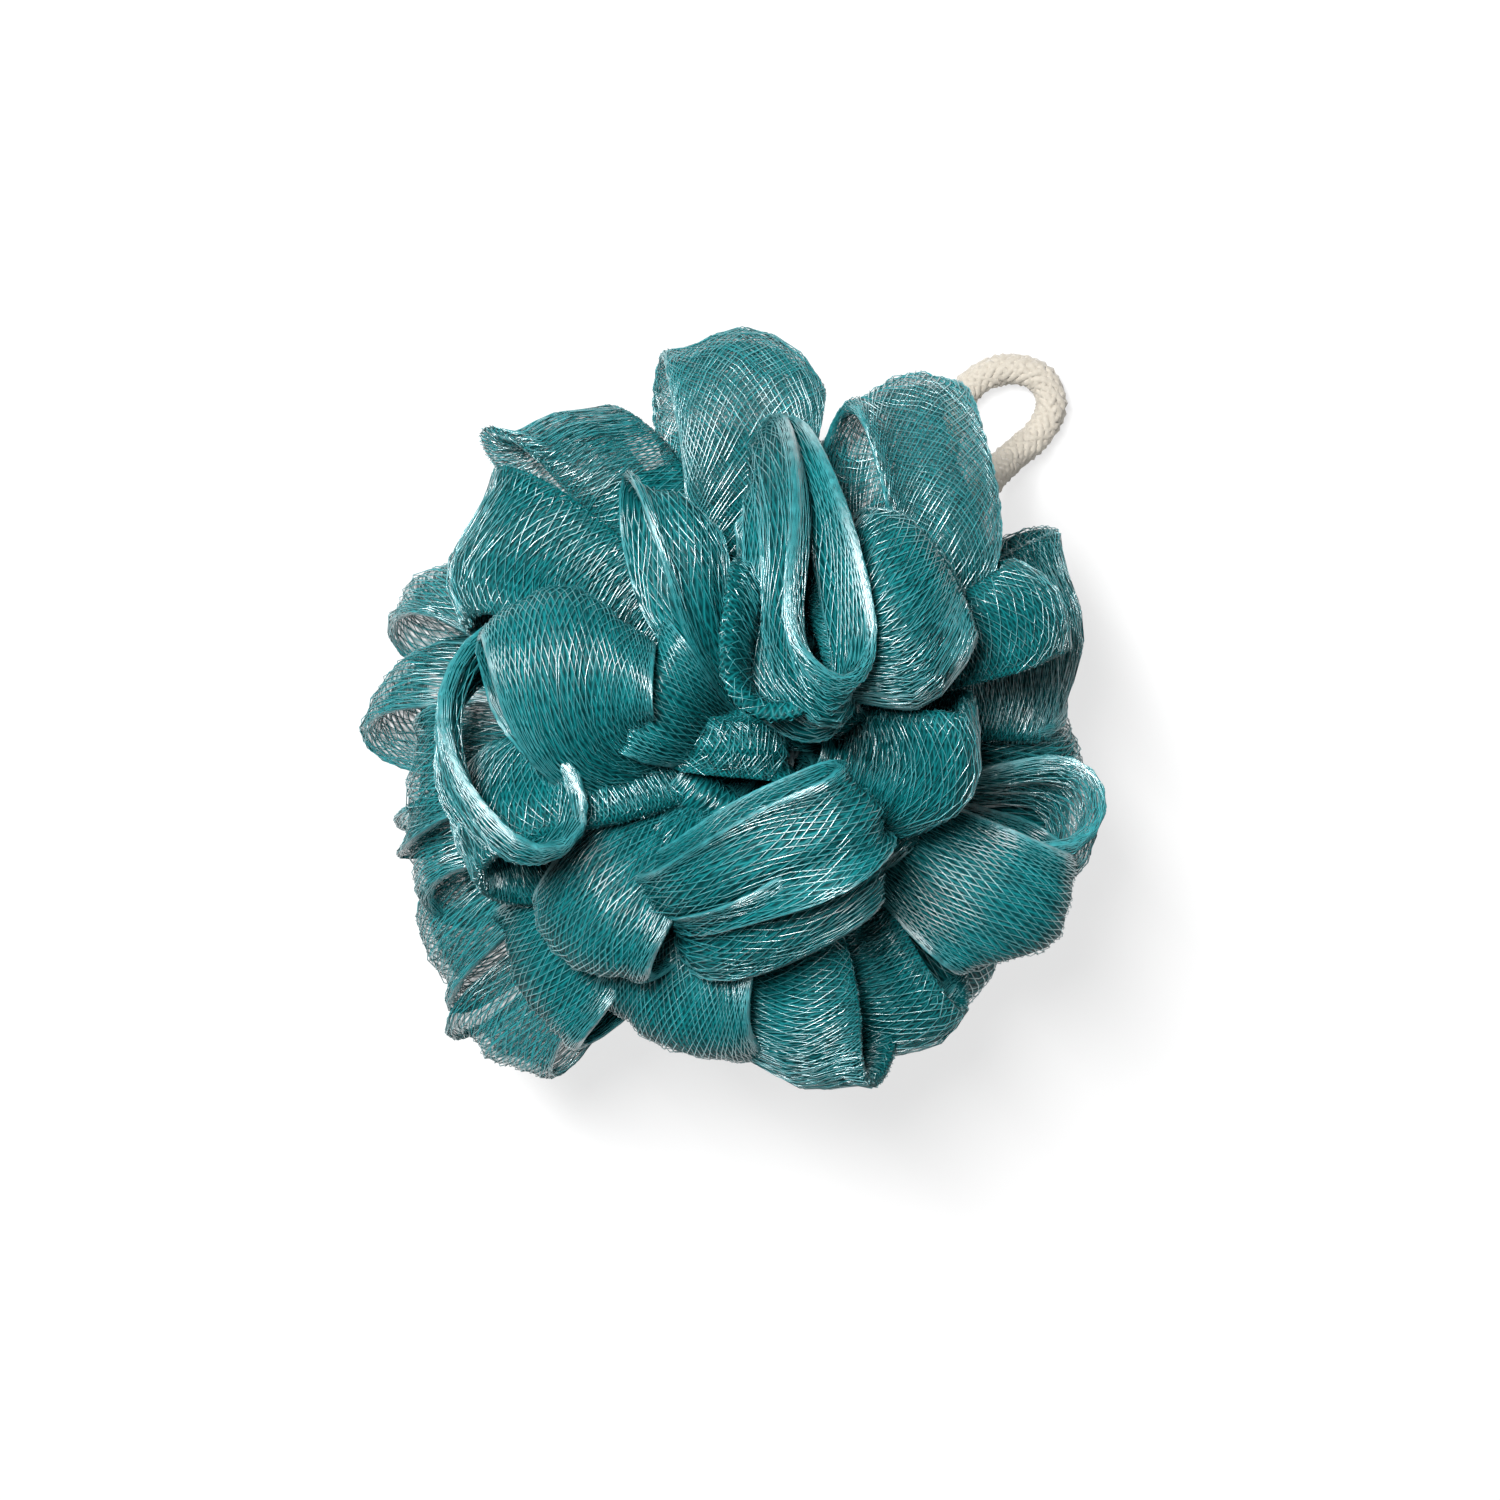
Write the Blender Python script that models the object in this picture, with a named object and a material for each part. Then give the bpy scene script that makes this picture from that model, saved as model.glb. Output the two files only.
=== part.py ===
"""Mesh bath pouf: a gathered ball of tubular net, its waist tie and its hanging loop.

The net is one long soft tube. A tie draws it together at the middle of the
ball, and between two gathers the flattened tube stands out as a loop, so the
ball is a crowd of loops that all start at the tie. Lengths are in metres and
+Z points up from the spot the pouf rests on.
"""

import math
import random
from dataclasses import dataclass

import bmesh
import bpy
import numpy as np
from mathutils import Vector

MM = 0.001

# The ball
CORE_HEIGHT = 50 * MM
CORE_RADIUS = 14 * MM
CORE_SEGMENTS = 20
CORE_RINGS = 10

# Size of the ball, and the radius that the lists of loops are written for
BALL_RADIUS = 66 * MM
LIST_RADIUS = 66

# The flattened tube of net
TUBE_PUFF = 1.7 * MM
ROOT_WIDTH = 0.12
LOOP_POWER = 0.8
TIP_SPEED = 62 * MM
ANGLE_STEPS = 400
ROOT_DEPTH = 11 * MM
LOOP_STATIONS = 12
STATION_SPACE = 7.5 * MM
TUBE_POINTS = 8
WIDENING = 0.75
EDGE_DROP = 0.30
EDGE_CHANGE = 0.16
LOPSIDED = 0.24
RIPPLE = 1.2 * MM
RIPPLE_COUNT = 1.7
SWAY = 1.5 * MM
WAVE = 0.9 * MM
WAVE_LENGTH = 40 * MM
PHASE_STEP = 2.399
MOST_TRIANGLES = 9400

# The side the ball rests on
PRESS_TOP = 24 * MM
PRESS_LOW = -8.0 * MM
REST_DEPTH = 0.5 * MM
FLOOR_BLOCK = 200 * MM

# The waist tie
TIE_RADIUS = 8 * MM
TIE_THICKNESS = 2.6 * MM
TIE_SEGMENTS = 36
TIE_SIDES = 10

# The hanging loop
CORD_DIAMETER = 6.2 * MM
CORD_BEVEL = 3
CORD_POINTS = 40
CORD_DIRECTION = math.radians(53.0)
SMOOTH_STEPS = 24

# Room kept between pieces that touch
GAP = 0.3 * MM

# Where the middle of the tie stands over the origin, so that the origin is
# under the middle of the net
TIE_PLACE = (6.4 * MM, -5.7 * MM, 0.0)


@dataclass(frozen=True)
class Fold:
    """One loop of the net, in millimetres from the middle of the tie.

    bend and tip steer the middle line of the loop, which starts at the tie.
    half_width is half the flattened tube, half_gap half the space inside the
    loop, turn the angle in degrees of the tube's width away from upright.
    fullness moves the widest place towards the tip, cup bows the tube across
    its width, twist turns it, in degrees, from root to tip, and belly rounds
    the turn of a loop that leans back over the ball.
    """

    bend: tuple[float, float, float]
    tip: tuple[float, float, float]
    half_width: float
    half_gap: float
    turn: float
    fullness: float = 1.6
    cup: float = 3.0
    twist: float = 0.0
    belly: tuple[float, float, float] = (0.0, 0.0, 0.0)


UPPER_FOLDS = [
    # hood at the back edge
    Fold((-9, 42, 18), (-4, 67, 2), 14, 8.6, 86, 1.6, 3, 0),
    # tall ring that leans back over the top, and the pocket in front of it
    Fold((-6, 94, 16), (9, 4, 44), 10.5, 5.6, 26, 1.5, 1, -10, (0, 4, 18)),
    Fold((-2, 48, 30), (3, 6, 38), 8, 7.5, 6, 1.8, 1, 0, (0, 2, 14)),
    # broad lobe beside the ring
    Fold((14, 54, 34), (23, 7, 36), 13, 6, 82, 1.3, 4, 0, (0, 2, 12)),
    # back right
    Fold((44, 18, 36), (19, 61, 8), 12.5, 7, 56, 1.6, 4, 0, (0, 0, 4)),
    Fold((26, 16, 26), (46, 24, 18), 9, 6, 80, 1.6, 3, 10),
    Fold((28, 16, -4), (54, 20, -8), 18, 8, 80, 1.4, 4, 0),
    # right
    Fold((18, 0, 28), (33, -7, 28), 13, 7, 74, 1.6, 4, 0),
    Fold((30, -14, 2), (54, -17, 2), 9, 8.5, 24, 1.6, 3, 10),
    Fold((25, -18, 14), (48, -33, 6), 14, 8, 86, 1.6, 4, 0),
    # front
    Fold((14, -28, 8), (28, -50, 2), 10, 8, 75, 1.6, 3, 10),
    Fold((6, -28, 24), (9, -56, 8), 12, 8.5, 66, 1.6, 3, -10),
    Fold((-8, -30, 24), (-17, -51, 10), 15, 8, 70, 1.6, 4, 10),
    Fold((-20, -14, 34), (-32, -36, 16), 13, 8, 66, 1.6, 4, 10),
    # two lobes laid over the middle
    Fold((-44, -42, 28), (15, -9, 40), 9.0, 5.6, 62, 1.3, 2, 6, (-4, -4, 14)),
    Fold((-34, -50, 22), (14, -19, 33), 9, 5, 70, 1.3, 2, 10, (-3, -4, 12)),
    # left
    Fold((-40, -12, 46), (-30, 24, 29), 14, 6, 88, 1.5, 4, 0),
    Fold((-12, 14, 44), (-17, 39, 27), 7, 4.5, 44, 1.6, 3, 40),
    Fold((-22, 24, 24), (-50, 33, 11), 13, 8, 82, 1.5, -3, 0),
    Fold((-16, 36, 4), (-37, 56, -2), 12, 8.5, 66, 1.6, 4, 0),
    Fold((-66, 40, 18), (-37, -15, 30), 9, 8.4, 12, 1.5, 1, 10, (-4, 2, 8)),
    Fold((-22, -6, 34), (-50, -14, 16), 12, 8, 60, 1.6, 3, -15),
    Fold((-22, -26, 16), (-41, -43, 2), 13, 8, 66, 1.6, 3, 10),
    # inner loops between the taller ones
    Fold((6, 24, 26), (12, 36, 22), 11, 7, 30, 1.6, 3, 20),
    Fold((-16, 2, 30), (-22, 11, 29), 11, 5, 84, 1.6, 3, 10),
    Fold((4, 18, 20), (8, 30, 27), 11, 6, 85, 1.6, 3, 10),
    Fold((22, 18, 14), (31, 26, 17), 11, 6, 60, 1.6, 3, -10),
    Fold((-4, 28, 4), (-7, 44, 8), 10, 6, 60, 1.6, 3, 10),
    Fold((-8, -14, 20), (-17, -25, 25), 10, 6, 70, 1.6, 3, 10),
    Fold((8, -12, 16), (15, -21, 20), 10, 6, 70, 1.6, 3, -10),
]

EDGE_FOLDS = [
    # left edge
    Fold((-34, 14, -4), (-62, 26, -6), 8, 6, 60, 1.6, 3, 0),
    Fold((-34, 6, -6), (-66, 9, -8), 9, 8, 40, 1.6, 3, 0),
    Fold((-34, -2, 8), (-61, -6, 4), 11, 8, 70, 1.6, 3, 10),
    Fold((-34, -12, 0), (-62, -20, -4), 10, 8, 60, 1.6, 3, 0),
    Fold((-32, -18, -4), (-58, -35, -8), 10, 8, 60, 1.6, 3, 0),
    Fold((-26, -28, -6), (-48, -54, -8), 9, 5, 70, 1.6, 3, 0),
    # front edge
    Fold((-4, -28, -8), (-4, -51, -14), 14, 8, 80, 1.6, 3, 0),
    Fold((18, -24, -8), (35, -43, -14), 12, 8, 70, 1.6, 3, 0),
    # right edge
    Fold((30, -4, -10), (54, 0, -14), 11, 8, 60, 1.6, 3, 0),
    # back edge
    Fold((4, 28, -12), (5, 50, -18), 12, 8, 70, 1.6, 3, 0),
    Fold((-22, 28, -10), (-40, 38, -18), 13, 8, 60, 1.6, 3, 0),
]

# Rings of loops on the underside: angle from straight up, how many, first
# bearing and reach
UNDER_RINGS = [(116.0, 7, 92.0, 59.0), (152.0, 6, 20.0, 64.0), (174.0, 2, 60.0, 59.0)]
UNDER_SEED = 11


def carry(vector, before, after):
    """Turn a vector square to one direction so that it is square to another."""
    lean = (after * vector).sum(-1, keepdims=True)
    both = 1.0 + (after * before).sum(-1, keepdims=True)
    return vector - lean / both * (before + after)


def middle_line(fold):
    """Return the three points that steer the middle line after the tie."""
    unit = BALL_RADIUS / LIST_RADIUS
    bend = np.array(fold.bend) * unit
    tip = np.array(fold.tip) * unit
    belly = np.array(fold.belly) * unit
    return 2 / 3 * bend - belly, 2 / 3 * bend + tip / 3 + belly, tip


def way_out(fold, angle):
    """Return how far out a loop is, from 0 at the tie to 1 at its round tip."""
    first, second, tip = middle_line(fold)
    blunt = min(1.0, TIP_SPEED / (3 * float(np.linalg.norm(tip - second))))
    short = 1 - np.maximum(np.cos(angle), 1e-5) ** LOOP_POWER
    return 1 - short * (blunt + (1 - blunt) * short ** 2)


def root_angle(fold):
    """Return the angle at which a leg of the loop goes into the core."""
    first = middle_line(fold)[0]
    root = ROOT_DEPTH / (3 * float(np.linalg.norm(first)))
    angles = np.linspace(0.5 * math.pi, 0.0, ANGLE_STEPS)
    return float(np.interp(root, way_out(fold, angles), angles))


def fold_points(fold, phase, angles, shares):
    """Return the grid of points of one loop, stations along by points around."""
    angle, share = np.broadcast_arrays(angles[:, None], shares[None, :])
    first, second, tip = middle_line(fold)
    half_width = fold.half_width * MM
    half_gap = fold.half_gap * MM
    power = fold.fullness
    peak = math.sqrt(1 / (1 + power)) * (power / (1 + power)) ** (power / 2)

    def loop_line(theta):
        """Return how far out the loop is and how far it stands to its side."""
        cosine = np.maximum(np.cos(theta), 1e-5)
        return way_out(fold, theta), half_gap * np.sin(theta) * cosine ** power / peak

    step = 1e-4
    out, beside = loop_line(angle)
    out_after, beside_after = loop_line(angle + step)
    out_before, beside_before = loop_line(angle - step)

    # Middle line and the directions that travel along it
    part = out[..., None]
    middle = (
        3 * part * (1 - part) ** 2 * first
        + 3 * part ** 2 * (1 - part) * second
        + part ** 3 * tip
    )
    pull = (
        3 * (1 - part) ** 2 * first
        + 6 * part * (1 - part) * (second - first)
        + 3 * part ** 2 * (tip - second)
    )
    speed = np.linalg.norm(pull, axis=-1, keepdims=True)
    ahead = pull / speed
    last = (tip - second) / np.linalg.norm(tip - second)
    halfway = (tip + second - first) / np.linalg.norm(tip + second - first)
    level = np.array([-last[1], last[0], 0.0])
    level /= np.linalg.norm(level)
    turn = math.radians(fold.turn)
    upright = math.cos(turn) * np.array([0.0, 0.0, 1.0]) + math.sin(turn) * level
    upright -= (last @ upright) * last
    upright /= np.linalg.norm(upright)
    upright = carry(upright, last, halfway)
    across = carry(upright, halfway, ahead)
    side = np.cross(across, ahead)
    twist = (math.radians(fold.twist) * (out - 0.6))[..., None]
    wide = across * np.cos(twist) + side * np.sin(twist)
    aside = side * np.cos(twist) - across * np.sin(twist)

    # Outward direction of the loop in its own plane
    run = (out_after - out_before) * speed[..., 0]
    rise = beside_after - beside_before
    length = np.hypot(run, rise)
    outward_ahead = rise / length
    outward_aside = -run / length

    # Flattened tube: two flat faces joined by two round folds
    width = half_width * (ROOT_WIDTH + (1 - ROOT_WIDTH) * out ** WIDENING)
    puff = TUBE_PUFF * np.minimum(1.0, 0.3 + 1.2 * out)
    flat = np.maximum(width - puff, 0.2 * puff)
    fold_length = math.pi * puff
    at = share * (4 * flat + 2 * fold_length)
    places = [at < 2 * flat, at < 2 * flat + fold_length, at < 4 * flat + fold_length]
    across_tube = np.select(
        places,
        [
            flat - at,
            -flat - puff * np.sin((at - 2 * flat) / puff),
            at - 3 * flat - fold_length,
        ],
        flat + puff * np.sin((at - 4 * flat - fold_length) / puff),
    )
    through_tube = np.select(
        places,
        [
            np.ones_like(at),
            np.cos((at - 2 * flat) / puff),
            -np.ones_like(at),
        ],
        -np.cos((at - 4 * flat - fold_length) / puff),
    )

    # Ripples, the bow across the width and the slow sway of the cloth
    reach = across_tube / half_width
    calm = 1 - 0.75 * np.cos(angle) ** 4
    ripple = RIPPLE * out * calm * np.sin(RIPPLE_COUNT * math.pi * reach + phase + 1.1 * angle)
    offset = puff * through_tube + ripple
    bow = fold.cup * MM * reach ** 2 * out
    sway = SWAY * np.sin(2 * angle + phase + 2 * reach) * out
    drop = EDGE_DROP + EDGE_CHANGE * math.sin(3 * phase)
    skew = LOPSIDED * math.sin(5 * phase)
    forward = outward_ahead * offset - half_width * out * (drop * reach ** 2 - skew * reach)
    sideways = beside + outward_aside * offset + bow + sway
    points = (
        middle
        + forward[..., None] * ahead
        + sideways[..., None] * aside
        + across_tube[..., None] * wide
    )
    turns = 2 * math.pi / WAVE_LENGTH
    x, y, z = points[..., 0], points[..., 1], points[..., 2]
    wave = np.stack(
        [
            np.sin(turns * y + phase) + np.sin(0.7 * turns * z + 2 * phase),
            np.sin(turns * z + 3 * phase) + np.sin(0.8 * turns * x + phase),
            np.sin(turns * x + 5 * phase) + np.sin(0.6 * turns * y + phase),
        ],
        axis=-1,
    )
    return press(points + WAVE * part * wave + np.array([0.0, 0.0, CORE_HEIGHT]))


def press(points):
    """Squeeze the lowest loops towards the surface the ball rests on."""
    height = points[..., 2]
    share = (PRESS_TOP - height) / (PRESS_TOP - PRESS_LOW)
    squeezed = PRESS_TOP - (PRESS_TOP + REST_DEPTH) * share
    points[..., 2] = np.where(height < PRESS_TOP, squeezed, height)
    return points


def under_folds():
    """Return the loops of the underside, spread evenly and varied a little."""
    chance = random.Random(UNDER_SEED)
    folds = []
    for polar, count, first, middle_reach in UNDER_RINGS:
        for index in range(count):
            bearing = math.radians(first + 360.0 / count * index + chance.uniform(-8, 8))
            angle = math.radians(polar + chance.uniform(-4, 4))
            reach = middle_reach + chance.uniform(-2, 2)
            tip = (
                reach * math.sin(angle) * math.cos(bearing),
                reach * math.sin(angle) * math.sin(bearing),
                reach * math.cos(angle),
            )
            folds.append(
                Fold(
                    (tip[0] / 2, tip[1] / 2, tip[2] / 2),
                    tip,
                    chance.uniform(14, 18),
                    chance.uniform(7, 9),
                    chance.uniform(20, 160),
                    1.6,
                    chance.uniform(-4, 4),
                    chance.uniform(-20, 20),
                )
            )
    return folds


def all_folds():
    """Return every loop with its own phase for ripples and waves."""
    folds = UPPER_FOLDS + EDGE_FOLDS + under_folds()
    return [(fold, PHASE_STEP * index) for index, fold in enumerate(folds)]


def clear_scene():
    """Remove whatever the scene holds."""
    for item in list(bpy.data.objects):
        bpy.data.objects.remove(item, do_unlink=True)


def make_collection(name, hidden=False):
    """Return a new collection linked to the scene."""
    group = bpy.data.collections.new(name)
    bpy.context.scene.collection.children.link(group)
    group.hide_render = hidden
    return group


def make_material(name, colour, roughness):
    """Return a plain coloured material."""
    material = bpy.data.materials.new(name)
    material.use_nodes = True
    shader = material.node_tree.nodes["Principled BSDF"]
    shader.inputs["Base Color"].default_value = (*colour, 1.0)
    shader.inputs["Roughness"].default_value = roughness
    shader.inputs["Metallic"].default_value = 0.0
    return material


def add_object(name, mesh, group, helper=False):
    """Return an object for the mesh, hidden from renders if it is a helper."""
    item = bpy.data.objects.new(name, mesh)
    group.objects.link(item)
    if helper:
        item.hide_render = True
        item.display_type = "WIRE"
    return item


def fold_mesh(name, fold, phase):
    """Return the closed mesh of one loop, its two ends capped in the core."""
    end = root_angle(fold)
    length = np.linalg.norm(fold.bend) + np.linalg.norm(np.subtract(fold.tip, fold.bend))
    stations = max(LOOP_STATIONS, round(length * MM / STATION_SPACE))
    angles = np.linspace(-end, end, stations)
    fold_share = 0.5 / TUBE_POINTS
    shares = (np.arange(TUBE_POINTS) + fold_share) / TUBE_POINTS
    points = fold_points(fold, phase, angles, shares)
    around = points.shape[1]
    order = np.arange(stations * around).reshape(stations, around)
    following = np.roll(order, -1, axis=1)
    faces = np.stack(
        [order[:-1], following[:-1], following[1:], order[1:]], axis=-1
    ).reshape(-1, 4).tolist()
    faces.append(order[0][::-1].tolist())
    faces.append(order[-1].tolist())
    mesh = bpy.data.meshes.new(name)
    mesh.from_pydata(points.reshape(-1, 3).tolist(), [], faces)
    shape = bmesh.new()
    shape.from_mesh(mesh)
    bmesh.ops.triangulate(shape, faces=shape.faces[:])
    bmesh.ops.recalc_face_normals(shape, faces=shape.faces[:])
    shape.to_mesh(mesh)
    shape.free()
    return mesh


def apply_modifiers(item):
    """Turn the evaluated shape of an object into its own mesh."""
    graph = bpy.context.evaluated_depsgraph_get()
    mesh = bpy.data.meshes.new_from_object(item.evaluated_get(graph))
    item.modifiers.clear()
    item.data = mesh


def core_mesh(name):
    """Return the gathered middle of the net."""
    mesh = bpy.data.meshes.new(name)
    shape = bmesh.new()
    bmesh.ops.create_uvsphere(
        shape, u_segments=CORE_SEGMENTS, v_segments=CORE_RINGS, radius=CORE_RADIUS
    )
    bmesh.ops.translate(shape, verts=shape.verts[:], vec=(0.0, 0.0, CORE_HEIGHT))
    shape.to_mesh(mesh)
    shape.free()
    return mesh


def ring_mesh(name, thickness):
    """Return a closed ring of round section that lies round the waist."""
    section = bpy.data.meshes.new(name)
    shape = bmesh.new()
    verts = [
        shape.verts.new(
            (
                TIE_RADIUS + 0.5 * thickness * math.cos(2 * math.pi * index / TIE_SIDES),
                0.0,
                0.5 * thickness * math.sin(2 * math.pi * index / TIE_SIDES),
            )
        )
        for index in range(TIE_SIDES)
    ]
    edges = [
        shape.edges.new((verts[index], verts[(index + 1) % TIE_SIDES]))
        for index in range(TIE_SIDES)
    ]
    bmesh.ops.spin(
        shape,
        geom=verts + edges,
        cent=(0.0, 0.0, 0.0),
        axis=(0.0, 0.0, 1.0),
        angle=2 * math.pi,
        steps=TIE_SEGMENTS,
        use_merge=True,
    )
    bmesh.ops.remove_doubles(shape, verts=shape.verts[:], dist=0.01 * MM)
    bmesh.ops.recalc_face_normals(shape, faces=shape.faces[:])
    bmesh.ops.translate(shape, verts=shape.verts[:], vec=(0.0, 0.0, CORE_HEIGHT))
    shape.to_mesh(section)
    shape.free()
    return section


# Route of the hanging cord in its own upright plane: distance out from the
# axis, distance to the side and height above the floor, in millimetres
CORD_ROUTE = [
    (12.5, -4.0, 50.0),
    (26.0, -4.0, 48.0),
    (40.0, -4.2, 41.0),
    (52.0, -3.6, 29.0),
    (61.0, -3.8, 16.0),
    (68.0, -4.6, 7.0),
    (75.0, -5.6, 3.9),
    (82.0, -5.2, 3.6),
    (86.0, 0.0, 3.6),
    (82.0, 5.2, 3.6),
    (75.0, 5.6, 3.9),
    (68.0, 4.6, 7.0),
    (61.0, 3.8, 16.0),
    (52.0, 3.6, 29.0),
    (40.0, 4.2, 41.0),
    (26.0, 4.0, 48.0),
    (12.5, 4.0, 50.0),
]


def smooth_route(route, count):
    """Return evenly spaced points of the smooth curve through a route."""
    points = np.array(route) * MM
    ends = [2 * points[0] - points[1], *points, 2 * points[-1] - points[-2]]
    fine = []
    for index in range(len(points) - 1):
        before, start, end, after = ends[index : index + 4]
        for step in range(SMOOTH_STEPS):
            t = step / SMOOTH_STEPS
            fine.append(
                0.5
                * (
                    2 * start
                    + (end - before) * t
                    + (2 * before - 5 * start + 4 * end - after) * t ** 2
                    + (3 * start - before - 3 * end + after) * t ** 3
                )
            )
    fine = np.array([*fine, points[-1]])
    gone = np.concatenate([[0.0], np.linalg.norm(np.diff(fine, axis=0), axis=1).cumsum()])
    even = np.linspace(0.0, gone[-1], count)
    return np.stack([np.interp(even, gone, fine[:, axis]) for axis in range(3)], axis=-1)


def cord_points():
    """Return the middle line of the hanging cord in the pouf's own frame."""
    line = smooth_route(CORD_ROUTE, CORD_POINTS)
    out, aside, height = line[:, 0], line[:, 1], line[:, 2]
    ahead_x, ahead_y = math.cos(CORD_DIRECTION), math.sin(CORD_DIRECTION)
    return np.stack(
        [out * ahead_x - aside * ahead_y, out * ahead_y + aside * ahead_x, height],
        axis=-1,
    )


def cord_object(name, group, diameter, points, helper=False):
    """Return a round cord of the given diameter along the points."""
    curve = bpy.data.curves.new(name, "CURVE")
    curve.dimensions = "3D"
    curve.bevel_depth = 0.5 * diameter
    curve.bevel_resolution = CORD_BEVEL
    curve.use_fill_caps = True
    spline = curve.splines.new("POLY")
    spline.points.add(len(points) - 1)
    for target, point in zip(spline.points, points):
        target.co = (*point, 1.0)
    source = bpy.data.objects.new(name + "_line", curve)
    group.objects.link(source)
    graph = bpy.context.evaluated_depsgraph_get()
    mesh = bpy.data.meshes.new_from_object(source.evaluated_get(graph))
    bpy.data.objects.remove(source, do_unlink=True)
    shape = bmesh.new()
    shape.from_mesh(mesh)
    bmesh.ops.remove_doubles(shape, verts=shape.verts[:], dist=0.01 * MM)
    bmesh.ops.recalc_face_normals(shape, faces=shape.faces[:])
    shape.to_mesh(mesh)
    shape.free()
    return add_object(name, mesh, group, helper)


def boolean(item, operation, other=None, others=None, self_overlap=False):
    """Apply one exact Boolean with an object or a collection."""
    modifier = item.modifiers.new(operation.title(), "BOOLEAN")
    modifier.operation = operation
    modifier.solver = "EXACT"
    modifier.use_self = self_overlap
    if others is not None:
        modifier.operand_type = "COLLECTION"
        modifier.collection = others
    else:
        modifier.object = other
    apply_modifiers(item)


def keep_largest(item):
    """Keep the largest closed skin and drop sealed hollows and loose scraps."""
    shape = bmesh.new()
    shape.from_mesh(item.data)
    left = set(shape.faces)
    skins = []
    while left:
        start = left.pop()
        skin = [start]
        front = [start]
        while front:
            face = front.pop()
            for edge in face.edges:
                for other in edge.link_faces:
                    if other in left:
                        left.discard(other)
                        skin.append(other)
                        front.append(other)
        skins.append(skin)
    skins.sort(key=len, reverse=True)
    for skin in skins[1:]:
        bmesh.ops.delete(shape, geom=skin, context="FACES")
    shape.to_mesh(item.data)
    shape.free()


def simplify(item, most):
    """Merge small triangles until no more than the given number are left."""
    item.data.calc_loop_triangles()
    count = len(item.data.loop_triangles)
    modifier = item.modifiers.new("Simplify", "DECIMATE")
    modifier.decimate_type = "COLLAPSE"
    modifier.ratio = min(1.0, most / count)
    modifier.use_collapse_triangulate = True
    apply_modifiers(item)


def build():
    """Build the three pieces of the pouf."""
    clear_scene()
    pouf = make_collection("mesh_bath_pouf")
    helpers = make_collection("cutters", hidden=True)
    lobes = make_collection("loops_of_net", hidden=True)

    for index, (fold, phase) in enumerate(all_folds()):
        name = f"loop_{index:02d}"
        add_object(name, fold_mesh(name, fold, phase), lobes, helper=True)
    netting = add_object("netting", core_mesh("netting"), pouf)
    boolean(netting, "UNION", others=lobes, self_overlap=True)
    keep_largest(netting)
    simplify(netting, MOST_TRIANGLES)

    points = cord_points()
    inner = points.copy()
    inward = points[0] - points[1]
    inner = np.vstack([points[0] + inward, inner, points[-1] + inward])
    channel = cord_object("cord_channel", helpers, CORD_DIAMETER + 2 * GAP, inner, helper=True)
    boolean(netting, "DIFFERENCE", other=channel)
    groove = add_object("tie_groove", ring_mesh("tie_groove", TIE_THICKNESS + 2 * GAP), helpers, True)
    boolean(netting, "DIFFERENCE", other=groove)
    block = bpy.data.meshes.new("floor_block")
    shape = bmesh.new()
    bmesh.ops.create_cube(shape, size=FLOOR_BLOCK)
    bmesh.ops.translate(shape, verts=shape.verts[:], vec=(0.0, 0.0, -0.5 * FLOOR_BLOCK))
    shape.to_mesh(block)
    shape.free()
    boolean(netting, "DIFFERENCE", other=add_object("floor_block", block, helpers, True))
    keep_largest(netting)
    netting.data.materials.clear()
    netting.data.materials.append(make_material("teal_net", (0.013, 0.21, 0.22), 0.45))

    tie = add_object("waist_tie", ring_mesh("waist_tie", TIE_THICKNESS), pouf)
    tie.data.materials.append(make_material("grey_tie", (0.35, 0.36, 0.36), 0.6))

    cord = cord_object("hanging_loop", pouf, CORD_DIAMETER, points)
    cord.data.materials.append(make_material("cream_cotton", (0.64, 0.60, 0.50), 0.9))

    for item in (netting, tie, cord):
        item.location = TIE_PLACE


build()
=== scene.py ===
"""Mesh bath pouf seen from above: teal gathered net with a cream hanging loop.

The outer threads of the net and the yarns of the cord are modelled one by one,
and the inner layers of net are strips with drawn threads. Lengths are in
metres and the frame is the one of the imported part, with +Z up from the floor.
"""

from __future__ import annotations

import logging
import math
import random
from dataclasses import dataclass
from enum import Enum

import bpy
import numpy as np
from mathutils import Matrix, Vector

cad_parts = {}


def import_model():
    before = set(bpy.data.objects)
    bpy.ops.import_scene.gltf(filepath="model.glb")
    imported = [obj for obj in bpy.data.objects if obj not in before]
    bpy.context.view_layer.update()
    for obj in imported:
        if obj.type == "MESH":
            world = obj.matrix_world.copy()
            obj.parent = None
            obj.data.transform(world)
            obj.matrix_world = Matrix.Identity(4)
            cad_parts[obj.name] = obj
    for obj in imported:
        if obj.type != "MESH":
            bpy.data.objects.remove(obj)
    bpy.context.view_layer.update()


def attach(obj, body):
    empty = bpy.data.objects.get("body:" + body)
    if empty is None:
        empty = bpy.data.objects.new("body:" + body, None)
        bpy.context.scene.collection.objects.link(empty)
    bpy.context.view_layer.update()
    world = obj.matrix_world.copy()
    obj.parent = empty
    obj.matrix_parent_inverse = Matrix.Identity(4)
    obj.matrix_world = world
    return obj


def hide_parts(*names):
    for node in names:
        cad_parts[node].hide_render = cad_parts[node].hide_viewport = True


LOG = logging.getLogger("mesh_bath_pouf")
MM = 0.001
TIE_PLACE = np.array([6.4, -5.7, 50.0]) * MM

Colour = tuple[float, float, float]
Arrays = tuple[np.ndarray, np.ndarray, np.ndarray]
Strip = tuple[np.ndarray, np.ndarray, np.ndarray, np.ndarray]


class Zone(Enum):
    """Part of the ball that a loop of net belongs to."""

    UPPER = "upper"
    EDGE = "edge"
    UNDER = "under"


@dataclass(frozen=True)
class Weave:
    """How finely the net of a zone is drawn."""

    spacing: float
    piece_length: float
    thread_width: float


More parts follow.
